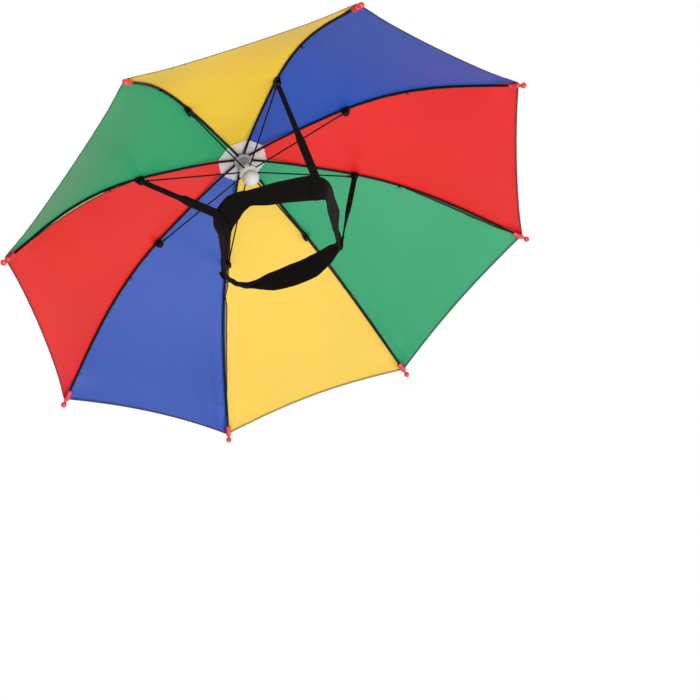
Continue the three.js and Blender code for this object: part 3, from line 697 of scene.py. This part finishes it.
def build_seam(rib):
    """The seam allowance that lies beside a rib, with its overlocked edge."""
    side, first, last, reach, cloth = SEAMS[rib]
    panel = rib if side > 0 else (rib - 1) % RIBS
    place = np.linspace(0, 1, 150)
    share = first + (last - first) * place
    run = share * RIB_LENGTH
    full = np.sin(math.pi * place)
    from_tie = (run - TIE_SHARES[rib] * RIB_LENGTH) / TIE_PINCH_REACH
    tied = 1 - TIE_PINCH * np.exp(-from_tie ** 2)
    wave = 0.14 * np.sin(run / 5.3 + rib) + 0.1 * np.sin(run / 2.9 + 2 * rib)
    out = SEAM_LEAST + (reach - SEAM_LEAST) * full**0.7 * tied + wave * full
    start = SEAM_START + 0 * out
    curl = 0.12 * (1 + np.sin(run / 7.1 + rib)) * full

    def below(aside, depth):
        across = aside / chord_at(share)
        if side < 0:
            across = 1 - across
        lift = cloth_lift(share, across) + ripple(panel, share, across) - depth
        return cloth_points(panel, share, across, lift)

    rings = np.stack([below(start, 0.12), below(out, 0.14 + curl),
                      below(out + 0.05, 0.34 + curl), below(start, 0.32)], 1)
    uv = [(r, 3 * corner) for r in run for corner in range(4)]
    strip = facing_out(make(f"seam_{rib + 1}", *sweep(rings), CLOTHS[cloth], uv=uv))
    edge = below(out, EDGING_DEPTH + curl)
    normal = unit(edge - below(out, EDGING_DEPTH + 1 + curl))
    sideways = sideways_of(rib * STEP) * side
    edge_rings = []
    for angle in turns(6):
        size = EDGING_RADIUS + 0.07 * np.sin(run * 2 * math.pi / EDGING_PITCH + angle)
        edge_rings.append(edge + size[:, None] * (sideways * math.cos(angle)
                                                  + normal * math.sin(angle)))
    facing_out(make(f"seam_edging_{rib + 1}", *sweep(np.stack(edge_rings, 1)), dark_thread))


def tube(points, side, radius, flat=(1.0, 1.0), sides=12):
    """Rings of a tube whose section has one axis along side and is widened by flat."""
    points = np.asarray(points, float)
    rise = unit(np.cross(unit(np.gradient(points, axis=0)), side))
    angles = turns(sides)
    wide, deep = (np.broadcast_to(part, len(points))[:, None, None] for part in flat)
    return (points[:, None, :] + radius * wide * np.cos(angles)[None, :, None] * side
            + radius * deep * np.sin(angles)[None, :, None] * rise[:, None, :])


RIB_START_RADIUS = 6.7


def build_rib(rib):
    azimuth = rib * STEP
    shares = np.linspace(share_at(RIB_START_RADIUS), RIB_END, 150)
    wire = tube(rib_points(shares, azimuth, 0), sideways_of(azimuth), RIB_RADIUS)
    fit(f"rib_wire_{rib + 1}", sweep(wire), rib_steel, f"rib_{rib + 1}")


TIE_TURNS = 3
TIE_THREAD_RADIUS = 0.26
TIE_LENGTH = 1.8
TIE_TAIL = 2.6
TIE_TAIL_RADIUS = 0.22
TIE_KNOT_DROP = 1.7
TIE_KNOT_ASIDE = 0.8


def build_tie(rib):
    """Thread that binds the seam to the rib: its turns, a knot and two loose ends."""
    azimuth = rib * STEP
    share = TIE_SHARES[rib]
    origin = rib_points(share, azimuth, 0)
    along = unit(rib_points(share + 0.002, azimuth, 0) - origin)
    side = sideways_of(azimuth)
    rise = np.cross(along, side)
    t = np.linspace(0, 1, 16 * TIE_TURNS)
    angle = 2 * math.pi * TIE_TURNS * t
    out = 0.93 + 0.5 * np.sqrt(np.clip(-np.sin(angle), 0, 1))
    path = (origin + along * ((t - 0.5) * TIE_LENGTH)[:, None]
            + side * (out * np.cos(angle))[:, None] + rise * (out * np.sin(angle))[:, None])
    parts = [sweep(round_tube(path, TIE_THREAD_RADIUS))]
    knot = origin - rise * TIE_KNOT_DROP + side * SEAMS[rib][0] * TIE_KNOT_ASIDE
    ball = [(0, -0.7), (0.5, -0.5), (0.75, 0), (0.5, 0.5), (0, 0.7)]
    parts.append(lathe(ball, 10, Matrix.Translation(Vector(knot))))
    end = np.linspace(0, 1, 8)[:, None]
    for lean in (-0.6, 1):
        tail = (knot + along * lean * TIE_TAIL * end - rise * (0.9 * end**1.5)
                + side * SEAMS[rib][0] * end)
        parts.append(sweep(round_tube(tail, TIE_TAIL_RADIUS)))
    facing_out(make(f"rib_tie_{rib + 1}", *joined(parts), black_thread))


def round_tube(path, radius, sides=8):
    """Rings of a round tube along any path."""
    path = np.asarray(path, float)
    along = unit(np.gradient(path, axis=0))
    side = unit(np.cross(along[0], (0.31, 0.52, 0.79)))
    angles = turns(sides)
    rings = []
    for point, direction in zip(path, along):
        side = unit(side - direction * np.dot(side, direction))
        rise = np.cross(direction, side)
        rings.append(point + radius * (np.cos(angles)[:, None] * side
                                       + np.sin(angles)[:, None] * rise))
    return rings


CAP_WAIST_RADIUS = CAP_SLEEVE_RADIUS - 0.25


def build_cap(rib):
    """A moulded cap: a collared sleeve round the rib's end, a neck and a ball."""
    azimuth = rib * STEP
    tip = rib_points(1.0, azimuth, 0)
    along = unit(tip - rib_points(0.999, azimuth, 0))
    turn = Vector((0, 0, 1)).rotation_difference(Vector(along)).to_matrix().to_4x4()
    mouth, shoulder = -CAP_LENGTH, -CAP_NECK_LENGTH
    bore = RIB_RADIUS + RIB_CLEARANCE
    join = math.asin(CAP_NECK_RADIUS / CAP_BALL_RADIUS)
    neck_end = -CAP_BALL_RADIUS * math.cos(join)
    profile = rounded([
        (0, mouth + CAP_BORE_DEPTH), (bore, mouth + CAP_BORE_DEPTH, 0.1), (bore, mouth, 0.25),
        (CAP_SLEEVE_RADIUS, mouth, 0.5), (CAP_SLEEVE_RADIUS, mouth + 2.2, 0.2),
        (CAP_WAIST_RADIUS, mouth + 2.6, 0.2), (CAP_WAIST_RADIUS, shoulder - 1.5, 0.3),
        (CAP_SLEEVE_RADIUS - 0.1, shoulder - 1.1, 0.3),
        (CAP_NECK_RADIUS + 0.2, shoulder, 0.6), (CAP_NECK_RADIUS, neck_end - 0.3, 0.4)], 0.3)
    profile += dome(0, CAP_BALL_RADIUS, math.pi - join, 0, 12)
    shape = lathe(profile, 32, Matrix.Translation(Vector(tip)) @ turn)
    fit(f"tip_{rib + 1}", shape, cap_red, f"tip_cap_{rib + 1}")


CROWN_Z = CANOPY_RISE - RIM_DROP
RUNNER_Z = CROWN_Z - RUNNER_BELOW_CROWN


def clip_axes(rib):
    """Origin, outward, sideways and up axes of a rib's clip, and its boss's middle."""
    azimuth = rib * STEP
    share = share_at(CLIP_RADIUS)
    origin = rib_points(share, azimuth, 0)
    along = unit(rib_points(share + 0.001, azimuth, 0) - rib_points(share - 0.001, azimuth, 0))
    side = sideways_of(azimuth)
    rise = np.cross(along, side)
    return origin, along, side, rise, origin - rise * BOSS_DROP


def axes_matrix(origin, x, y, z):
    return Matrix([[*map(float, row), float(o)] for row, o in zip(np.stack([x, y, z], 1), origin)]
                  + [[0, 0, 0, 1]])


def build_clip(rib):
    """A moulded clip: a saddle under the rib, two cheeks and a round boss with its pin."""
    origin, along, side, rise, boss = clip_axes(rib)
    half, slot = CLIP_WIDTH / 2, RIB_RADIUS + 0.25
    section = [(-half, 0.25), (-slot, 0.25), (-slot, -1.35), (slot, -1.35), (slot, 0.25),
               (half, 0.25), (half, -1.6), (half * 0.8, -2.3), (-half * 0.8, -2.3), (-half, -1.6)]
    rings = []
    for place, grow in ((-4, 0.82), (-3.7, 0.95), (-3.2, 1), (3.2, 1), (3.7, 0.95), (4, 0.82)):
        ring = [origin + along * place + side * (a if abs(a) <= slot else a * grow)
                + rise * (b if b > -1.5 else b * grow) for a, b in section]
        rings.append(ring)
    parts = [sweep(rings)]
    turned_boss = [(0, -half - 0.45), (0.9, -half - 0.4), (1.1, -half - 0.05, 0.05),
                   (BOSS_RADIUS - 0.2, -half, 0.5), (BOSS_RADIUS, -half + 0.9, 0.4),
                   (BOSS_RADIUS, half - 0.9, 0.4), (BOSS_RADIUS - 0.2, half, 0.5),
                   (1.1, half + 0.05, 0.05), (0.9, half + 0.4), (0, half + 0.45)]
    parts.append(lathe(rounded(turned_boss, 0.3), 32, axes_matrix(boss, along, -rise, side)))
    fit(f"clip_{rib + 1}", joined(parts), clip_plastic, f"rib_clip_{rib + 1}")


STRETCHER_RADIUS = 0.85
STRETCHER_START_RADIUS = 6.9
STRETCHER_GAP = 0.25


def build_stretcher(rib):
    """A wire from the runner's slot to the clip's boss, flattened at the boss."""
    azimuth = rib * STEP
    _, _, side, _, boss = clip_axes(rib)
    start = np.array([STRETCHER_START_RADIUS * math.cos(azimuth),
                      STRETCHER_START_RADIUS * math.sin(azimuth), RUNNER_Z])
    end = boss - unit(boss - start) * (BOSS_RADIUS + STRETCHER_GAP)
    t = np.concatenate([np.linspace(0, 0.9, 20), np.linspace(0.91, 1, 14)])
    pressed = 1 - smooth(np.linalg.norm(end - start) * (1 - t), 2.5, 6.5)
    wire = tube(start + (end - start) * t[:, None], side, STRETCHER_RADIUS,
                (0.85 + 0.75 * pressed, 0.85 - 0.25 * pressed))
    fit(f"stretcher_wire_{rib + 1}", sweep(wire), rib_steel, f"stretcher_{rib + 1}")


# Hub
HUB_SIDES = 64
SHAFT_RADIUS = 3.5
SHAFT_IN_KNOB = 6
SHAFT_IN_FINIAL = 7
BORE_RADIUS = 3.8
RUNNER_RADIUS = 9.0
RUNNER_HALF = 4.5
RUNNER_SLOT_HALF = 1.15
RUNNER_SLOT_RADIUS = 6.65
KNOB_TOP = RUNNER_Z - RUNNER_HALF - 1
KNOB_RADIUS = 8.25
KNOB_HEIGHT = 11.0
NOTCH_RADIUS = 8.5
NOTCH_HEIGHT = 4.2
NOTCH_SLOT_RADIUS = 5.95
NOTCH_SLOT_HALF = 1.3
SLOT_WALL = 1.02
SLEEVE_LENGTH = 9.0
SLEEVE_TOP_RADIUS = 6.0
SLEEVE_END_RADIUS = 4.7
SLEEVE_RIBS = 14
SLEEVE_RIB_DEPTH = 0.75
FINIAL_BALL_RADIUS = 9.5
FINIAL_SKIRT_RADIUS = 12.5
CLOTH_TOP = float(rib_points(CLOTH_START, 0, cloth_lift(CLOTH_START) - SHEET_LIFT
                             - SHEET_AT_CROWN + 1.2)[2])
FINIAL_Z = CLOTH_TOP + GAP
NOTCH_TOP = float(rib_points(share_at(NOTCH_RADIUS), 0, DISC_LIFT)[2]) - GAP


def around(radius, height, angles):
    """A level ring of points about the axis, its radius one number or one for each angle."""
    return np.stack([radius * np.cos(angles), radius * np.sin(angles),
                     np.full_like(angles, height)], 1)


def slotted_ring(profile, slot_low, slot_high, slot_radius, half_width):
    """A turned ring on the axis with one radial slot for each rib between two heights."""
    angles, cut = [], []
    half = half_width / RUNNER_RADIUS
    wall = half * SLOT_WALL
    for rib in range(RIBS):
        middle = rib * STEP
        angles += [middle - wall, middle - half, middle, middle + half]
        angles += [middle + wall + (STEP - 2 * wall) * step / 5 for step in range(5)]
        cut += [0, 1, 1, 1, 0, 0, 0, 0, 0]
    angles, cut = np.array(angles), np.array(cut)
    heights = sorted({slot_low, slot_low - 0.02, slot_high, slot_high + 0.02})
    full = []
    for (r0, h0), (r1, h1) in zip(profile, profile[1:]):
        full.append((r0, h0))
        inner = [h for h in heights if min(h0, h1) < h < max(h0, h1)]
        for h in sorted(inner, reverse=h1 < h0):
            full.append((r0 + (r1 - r0) * (h - h0) / (h1 - h0), h))
    full.append(profile[-1])
    rings = []
    for radius, height in full:
        deep = slot_low <= height <= slot_high
        r = np.where(cut * deep, np.minimum(radius, slot_radius), radius)
        rings.append(around(r, height, angles))
    return sweep(rings, closed=True)


def ribbed_sleeve(top, end):
    """The notch's sleeve: a tapered ring on the axis with fine ribs down its outside."""
    sides = 12 * SLEEVE_RIBS
    angles = turns(sides)
    cut = np.clip(1.6 * np.cos(SLEEVE_RIBS * angles) + 0.4, -1, 1) * 0.5 - 0.5
    rings = [around(BORE_RADIUS, end + 0.2, angles), around(BORE_RADIUS + 0.2, end, angles),
             around(SLEEVE_END_RADIUS - 0.3, end, angles)]
    for t in np.linspace(0, 1, 10):
        radius = SLEEVE_END_RADIUS + (SLEEVE_TOP_RADIUS - SLEEVE_END_RADIUS) * t
        rings.append(around(radius + SLEEVE_RIB_DEPTH * cut,
                            end + 0.3 + (top - end - 0.3) * t, angles))
    rings.append(around(BORE_RADIUS, top, angles))
    return sweep(rings, closed=True)


def build_hub():
    """The shaft, runner, notch with its sleeve, knob and finial."""
    low, high = KNOB_TOP - SHAFT_IN_KNOB, FINIAL_Z + SHAFT_IN_FINIAL
    profile = rounded([(0, low), (SHAFT_RADIUS, low, 0.4), (SHAFT_RADIUS, high, 0.4), (0, high)],
                      0.3)
    fit("shaft_tube", lathe(profile, HUB_SIDES), hub_painted_shade, "shaft")

    top, bottom = RUNNER_Z + RUNNER_HALF, RUNNER_Z - RUNNER_HALF
    runner = slotted_ring(
        [(BORE_RADIUS, bottom + 0.3), (BORE_RADIUS + 0.3, bottom), (6.8, bottom),
         (7.3, bottom + 0.3), (8.6, bottom + 2.1), (8.9, bottom + 2.6),
         (RUNNER_RADIUS, bottom + 3.2), (RUNNER_RADIUS, top - 2.6), (8.8, top - 2.0),
         (7.2, top - 0.4), (6.6, top), (BORE_RADIUS + 0.3, top), (BORE_RADIUS, top - 0.3)],
        RUNNER_Z - RUNNER_SLOT_HALF, RUNNER_Z + RUNNER_SLOT_HALF, RUNNER_SLOT_RADIUS,
        RUNNER_SLOT_HALF)
    fit("runner_ring", runner, hub_white, "runner", smooth_shade=False)

    low = NOTCH_TOP - NOTCH_HEIGHT
    notch = slotted_ring(
        [(BORE_RADIUS, low + 0.3), (BORE_RADIUS + 0.3, low), (7.5, low), (8.1, low + 0.3),
         (NOTCH_RADIUS, low + 1.0), (NOTCH_RADIUS, NOTCH_TOP), (BORE_RADIUS, NOTCH_TOP)],
        low + 1.7, NOTCH_TOP + 1, NOTCH_SLOT_RADIUS, NOTCH_SLOT_HALF)
    fit("notch_ring", notch, hub_painted_shade, "crown_notch", smooth_shade=False)
    fit("notch_sleeve", ribbed_sleeve(low + 0.1, low - SLEEVE_LENGTH), hub_painted_shade,
        "crown_notch")

    outer, low, seat = KNOB_RADIUS, KNOB_TOP - KNOB_HEIGHT, KNOB_TOP - SHAFT_IN_KNOB - GAP
    profile = rounded([(0, seat), (BORE_RADIUS, seat, 0.2), (BORE_RADIUS, KNOB_TOP, 0.3),
                       (outer - 1.5, KNOB_TOP, 0.8), (outer - 0.3, KNOB_TOP - 1.6, 0.6),
                       (outer, low + outer + 0.2)], 0.3)
    profile += dome(low + outer, outer, math.pi / 2, math.pi, 16)
    fit("knob_dome", lathe(profile, HUB_SIDES), hub_white, "lower_knob")

    ball, skirt = FINIAL_BALL_RADIUS, FINIAL_SKIRT_RADIUS
    neck = ball * 0.82
    seat = FINIAL_Z + SHAFT_IN_FINIAL + GAP
    centre = FINIAL_Z + 9 + math.sqrt(ball**2 - neck**2)
    profile = rounded([(0, seat), (BORE_RADIUS, seat, 0.2), (BORE_RADIUS, FINIAL_Z, 0.2),
                       (skirt - 0.2, FINIAL_Z, 0.4), (skirt, FINIAL_Z + 1.3, 0.5),
                       (10.8, FINIAL_Z + 3.4, 2), (neck + 0.6, FINIAL_Z + 7.6, 1.5),
                       (neck, FINIAL_Z + 8.9, 0.3)], 0.3)
    profile += dome(centre, ball, math.pi - math.asin(neck / ball), 0, 20)
    fit("finial_ball", lathe(profile, HUB_SIDES), hub_white, "finial")


SCALLOPS = 5
SCALLOP_DEPTH = 0.9
PLEAT_DEPTH = 0.2
SHEET_UNDER, SHEET_OVER = 0.25, 0.55


def build_disc():
    """The pleated milky disc between the ribs and the cloth."""
    columns, rows = 480, 14
    rings = []
    for column in range(columns):
        turn = column / columns * RIBS
        panel, across = int(turn), turn - int(turn)
        scallop = abs(math.sin(across * SCALLOPS * math.pi)) ** 0.7
        outer = share_at(DISC_RADIUS - SCALLOP_DEPTH * (1 - scallop))
        under, over = [], []
        for row in range(rows):
            t = row / (rows - 1)
            share = CLOTH_START + (outer - CLOTH_START) * t
            pleat = PLEAT_DEPTH * t * math.cos(2 * math.pi * across * SCALLOPS)
            for side, extra in ((under, SHEET_UNDER + pleat), (over, SHEET_OVER + pleat)):
                lift = DISC_LIFT + extra
                first = rib_points(share, panel * STEP, lift)
                second = rib_points(share, (panel + 1) * STEP, lift)
                side.append(first + (second - first) * across)
        rings.append(under + over[::-1])
    fit("crown_sheet", sweep(rings, closed=True), disc_clear, "crown_disc")


# Headband and straps
band_spots = [(out * BAND_RADIUS * math.cos(math.radians(turn)),
               out * BAND_RADIUS * math.sin(math.radians(turn)), up * BAND_DIP)
              for turn, out, up, *_ in BAND_COURSE]
PER_SPAN = 24
band_line = catmull(band_spots, True, PER_SPAN)
band_along = unit(np.roll(band_line, -1, 0) - np.roll(band_line, 1, 0))


def band_value(place, column):
    here = BAND_COURSE[int(place) % len(BAND_COURSE)][column]
    after = BAND_COURSE[(int(place) + 1) % len(BAND_COURSE)][column]
    return here + (after - here) * (place - int(place))


def band_frame(sample):
    """At a sample of the band: its middle, its directions along, up and out, and its size."""
    place = sample / PER_SPAN
    centre, along = band_line[sample % len(band_line)], band_along[sample % len(band_line)]
    upright = unit(np.array([0, 0, 1.0]) - along * along[2])
    flare = math.radians(band_value(place, 3))
    across = np.cross(along, upright)
    edge = upright * math.cos(flare) + across * math.sin(flare)
    width = BAND_WIDTH * band_value(place, 4)
    thick = BAND_THICKNESS * band_value(place, 5)
    return centre, along, edge, np.cross(along, edge), width, thick


band_step = np.linalg.norm(np.roll(band_line, -1, 0) - band_line, axis=1)
band_run = np.concatenate([[0], np.cumsum(band_step)])
band_table = np.array([np.concatenate([row[0], row[2], row[3], row[4:]])
                       for row in map(band_frame, range(len(band_run)))])


def on_band(sample, aside, down, lift):
    """Points near a place on the band: along it, a share down its width, out of its face."""
    run = (band_run[sample] + np.asarray(aside, float)) % band_run[-1]
    found = np.stack([np.interp(run, band_run, column) for column in band_table.T], -1)
    width, thick = found[..., 9:10], found[..., 10:11]
    return (found[..., :3] + found[..., 3:6] * width * (0.5 - down)
            + found[..., 6:9] * (thick / 2 + np.asarray(lift, float)[..., None]))


def tape_section(thick, ribs):
    """Places across a flat elastic from -1 to 1, and half its thickness at each."""
    across = np.linspace(-1, 1, 2 * ribs + 1)
    return across, np.sqrt(np.clip(1 - np.abs(across) ** 10, 0.12, 1)) * thick / 2


def tape_uv(width, count, run):
    """Cloth coordinates of one section of a tape, over its face and back again."""
    place = np.linspace(0, width, count).tolist()
    return [(p, run) for p in place + place[::-1]]


def strip_ring(centre, edge, face, width, thick, wave, ribs, phase):
    """A flat elastic's section: rounded edges, gathered into folds by wave."""
    across, half = tape_section(thick, ribs)
    bend = wave * np.sin(across * 7.5 + phase)
    out = np.stack([across * width / 2, bend + half], 1)
    back = np.stack([across * width / 2, bend - half], 1)[::-1]
    ring = np.concatenate([out, back])
    return centre + ring[:, :1] * edge + ring[:, 1:] * face


def build_band():
    rings, uv, run = [], [], 0.0
    total = len(band_line)
    for sample in range(total):
        centre, along, edge, face, width, thick = band_frame(sample)
        gather = max(0.0, thick / BAND_THICKNESS - 1)
        wave = gather * (0.9 + 0.25 * math.sin(sample / 2.9))
        slack = 0.25 * math.sin(sample / 9.0)
        width *= 1 + 0.07 * gather * math.sin(sample / 3.7)
        ring = strip_ring(centre + face * slack, edge, face, width,
                          BAND_THICKNESS * 0.8 * (1 + 0.15 * gather), wave, 12, sample / 11)
        rings.append(ring)
        uv += tape_uv(BAND_WIDTH, len(ring) // 2, run)
        run += float(np.linalg.norm(band_line[(sample + 1) % total] - band_line[sample]))
    fit("band", sweep(rings, closed=True), elastic, "headband", uv)


STRAP_RIBS = 10
STRAP_LOOP_THICKNESS = 2.2
STRAP_SEAT = GAP + STRAP_THICKNESS / 2
KNOTTED_BELOW = 0.6
BOX_STITCH_PITCH = 2.6
BOX_STITCH_RADIUS = 0.16
BOX_STITCH_SPREAD = 0.38
BOX_CORNERS = [(-1, 0.1), (1, 0.1), (1, 0.74), (-1, 0.74),
               (-1, 0.1), (1, 0.74), (1, 0.1), (-1, 0.74)]


def lap_ring(sample, down, width, thick):
    """The section of a tape that lies on the band's outer face."""
    across, half = tape_section(thick, STRAP_RIBS)
    aside = across * width / 2
    return np.concatenate([on_band(sample, aside, down, STRAP_SEAT + half),
                           on_band(sample, aside, down, STRAP_SEAT - half)[::-1]])


def bell(share, middle, reach):
    return math.exp(-((share - middle) / reach) ** 2)


def build_strap(number, rib, turn, slim, twist, twist_start, twist_end):
    """A strap: a doubled narrow loop from the clip, a fold, then flat tape sewn to the band."""
    sample = [spot[0] for spot in BAND_COURSE].index(turn) * PER_SPAN
    centre, along, edge, face, width, thick = band_frame(sample)
    tape = slim * STRAP_WIDTH
    lap_top = centre + edge * (width / 2 + GAP) + face * (thick / 2 + STRAP_SEAT)
    boss = clip_axes(rib - 1)[4]
    down = unit(lap_top - boss)
    lean = abs(float(np.dot(down, sideways_of((rib - 1) * STEP))))
    reach = BOSS_RADIUS + GAP + lean * STRAP_LOOP_WIDTH / 2
    top = boss + down * (reach / math.sqrt(1 - lean**2))
    length = float(np.linalg.norm(lap_top - top))
    flare_end = STRAP_LOOP_SHARE + STRAP_FLARE_SHARE
    flat = unit(along - down * np.dot(along, down))
    knotted = 1.0 if slim < KNOTTED_BELOW else 0.0
    places = 2 * STRAP_RIBS + 1
    rings, uv = [], []
    for share in np.concatenate([np.linspace(0, 0.02, 4), np.linspace(0.035, 1, 90)]):
        opened = float(smooth(share, STRAP_LOOP_SHARE, flare_end))
        untwisted = float(smooth(share, twist_start, twist_end))
        angle = math.radians(twist * STRAP_TURN) * (1 - untwisted)
        side = flat * math.cos(angle) + np.cross(down, flat) * math.sin(angle)
        wide = STRAP_LOOP_WIDTH + (tape - STRAP_LOOP_WIDTH) * opened
        wide *= 0.82 + 0.18 * float(smooth(share, 0, 0.02))
        deep = STRAP_LOOP_THICKNESS + (STRAP_THICKNESS * 0.9 - STRAP_LOOP_THICKNESS) * opened
        knuckle = bell(share, STRAP_LOOP_SHARE + 0.02, 0.02) * (1 - knotted)
        knot = bell(share, 1, 0.035) * knotted
        rings.append(strip_ring(top + (lap_top - top) * share, side, np.cross(down, side),
                                wide + 1.2 * knot, deep + 0.9 * knuckle + 0.9 * knot,
                                0.25 * knuckle + 0.5 * knot, STRAP_RIBS, share * 40 * knotted))
        uv += tape_uv(wide, places, share * length)
    for share in np.linspace(0.04, STRAP_LAP_SHARE, 18):
        bunched = 1.2 * bell(share, 0, 0.2) * knotted
        rings.append(lap_ring(sample, share, tape + bunched, STRAP_THICKNESS * 0.9 + bunched))
        uv += tape_uv(tape, places, length + share * width)
    fit(f"strap_tape_{number}", sweep(rings), elastic, f"strap_{number}", uv)
    starts, ends = [], []
    spread = tape * BOX_STITCH_SPREAD
    for first, second in zip(np.array(BOX_CORNERS), np.array(BOX_CORNERS[1:])):
        count = max(1, int(math.hypot(*((second - first) * (spread, width))) / BOX_STITCH_PITCH))
        for step in range(count):
            for t, found in ((step + 0.1, starts), (step + 0.9, ends)):
                aside, place = first + (second - first) * t / count
                found.append(on_band(sample, aside * spread, place,
                                     GAP + STRAP_THICKNESS - 0.02))
    stitches(f"strap_stitch_{number}", starts, ends, BOX_STITCH_RADIUS, black_thread)


# Putting it together
for index in range(RIBS):
    sheet, cut_width, cut_length, cut_area = build_panel(index)
    trims = [build_hem(index), hem_stitches(index)]
    build_seam(index)
    build_rib(index)
    build_tie(index)
    build_cap(index)
    build_clip(index)
    build_stretcher(index)
build_hub()
build_disc()
build_band()
for number, strap in enumerate(STRAPS, 1):
    build_strap(number, *strap)


# Floor, light and camera
def floor_material():
    n = Nodes("pale_floor")
    paint = n.shade(linear(236, 236, 234), n.vary(n.noise(3, 3, 0.5), 0.985, 1.01))
    return n.finish(n.surface(paint, Roughness=0.9, Specular_IOR_Level=0.1))


FLOOR_Z, FLOOR_HALF = -1.8, 30.0
floor_mesh = bpy.data.meshes.new("floor")
floor_mesh.from_pydata([(x * FLOOR_HALF, y * FLOOR_HALF, FLOOR_Z)
                        for x, y in ((-1, -1), (1, -1), (1, 1), (-1, 1))], [], [(0, 1, 2, 3)])
floor_mesh.materials.append(floor_material())
floor = added("floor", floor_mesh)

world = bpy.data.worlds.new("studio")
world.use_nodes = True
socket_set(world.node_tree.nodes["Background"], Color=(1.0, 1.0, 1.0, 1.0), Strength=1.0)
bpy.context.scene.world = world
bpy.context.scene.view_settings.view_transform = "Standard"


def area_light(name, place, target, width, depth, power):
    """A soft rectangular light whose width lies level, aimed at a target."""
    data = bpy.data.lights.new(name, "AREA")
    data.shape = "RECTANGLE"
    data.size, data.size_y, data.energy = width, depth, power
    lamp = added(name, data)
    back = (Vector(place) - Vector(target)).normalized()
    side = Vector((0, 1, 0)).cross(back).normalized()
    turned = Matrix((side, back.cross(side), back)).transposed().to_4x4()
    lamp.matrix_world = Matrix.Translation(Vector(place)) @ turned
    lamp.visible_camera = False


area_light("below_soft", (0.2, -0.3, -1.25), (0.2, -0.3, 0), 4.4, 2.0, 60)
area_light("front_soft", (-0.3, -1.35, -0.95), (0.05, 0.05, 0.05), 2.0, 1.0, 9)
area_light("top_soft", (0.3, -0.5, 1.6), (0, 0, 0.1), 1.5, 1.5, 15)

CAMERA_LENS = 75.783
CAMERA_PLACE = (-0.539165, -0.834265, -0.942245)
CAMERA_RIGHT = (0.8991, -0.2582, -0.3535)
CAMERA_UP = (0.0706, -0.7115, 0.6991)
CAMERA_BACK = (-0.4321, -0.6535, -0.6215)
camera_data = bpy.data.cameras.new("camera")
camera_data.sensor_width = 36
camera_data.lens = CAMERA_LENS
camera_data.clip_start, camera_data.clip_end = 0.05, 100
camera = added("camera", camera_data)
turned = Matrix((CAMERA_RIGHT, CAMERA_UP, CAMERA_BACK)).transposed().to_4x4()
camera.matrix_world = Matrix.Translation(CAMERA_PLACE) @ turned
bpy.context.scene.camera = camera

bpy.context.view_layer.update()
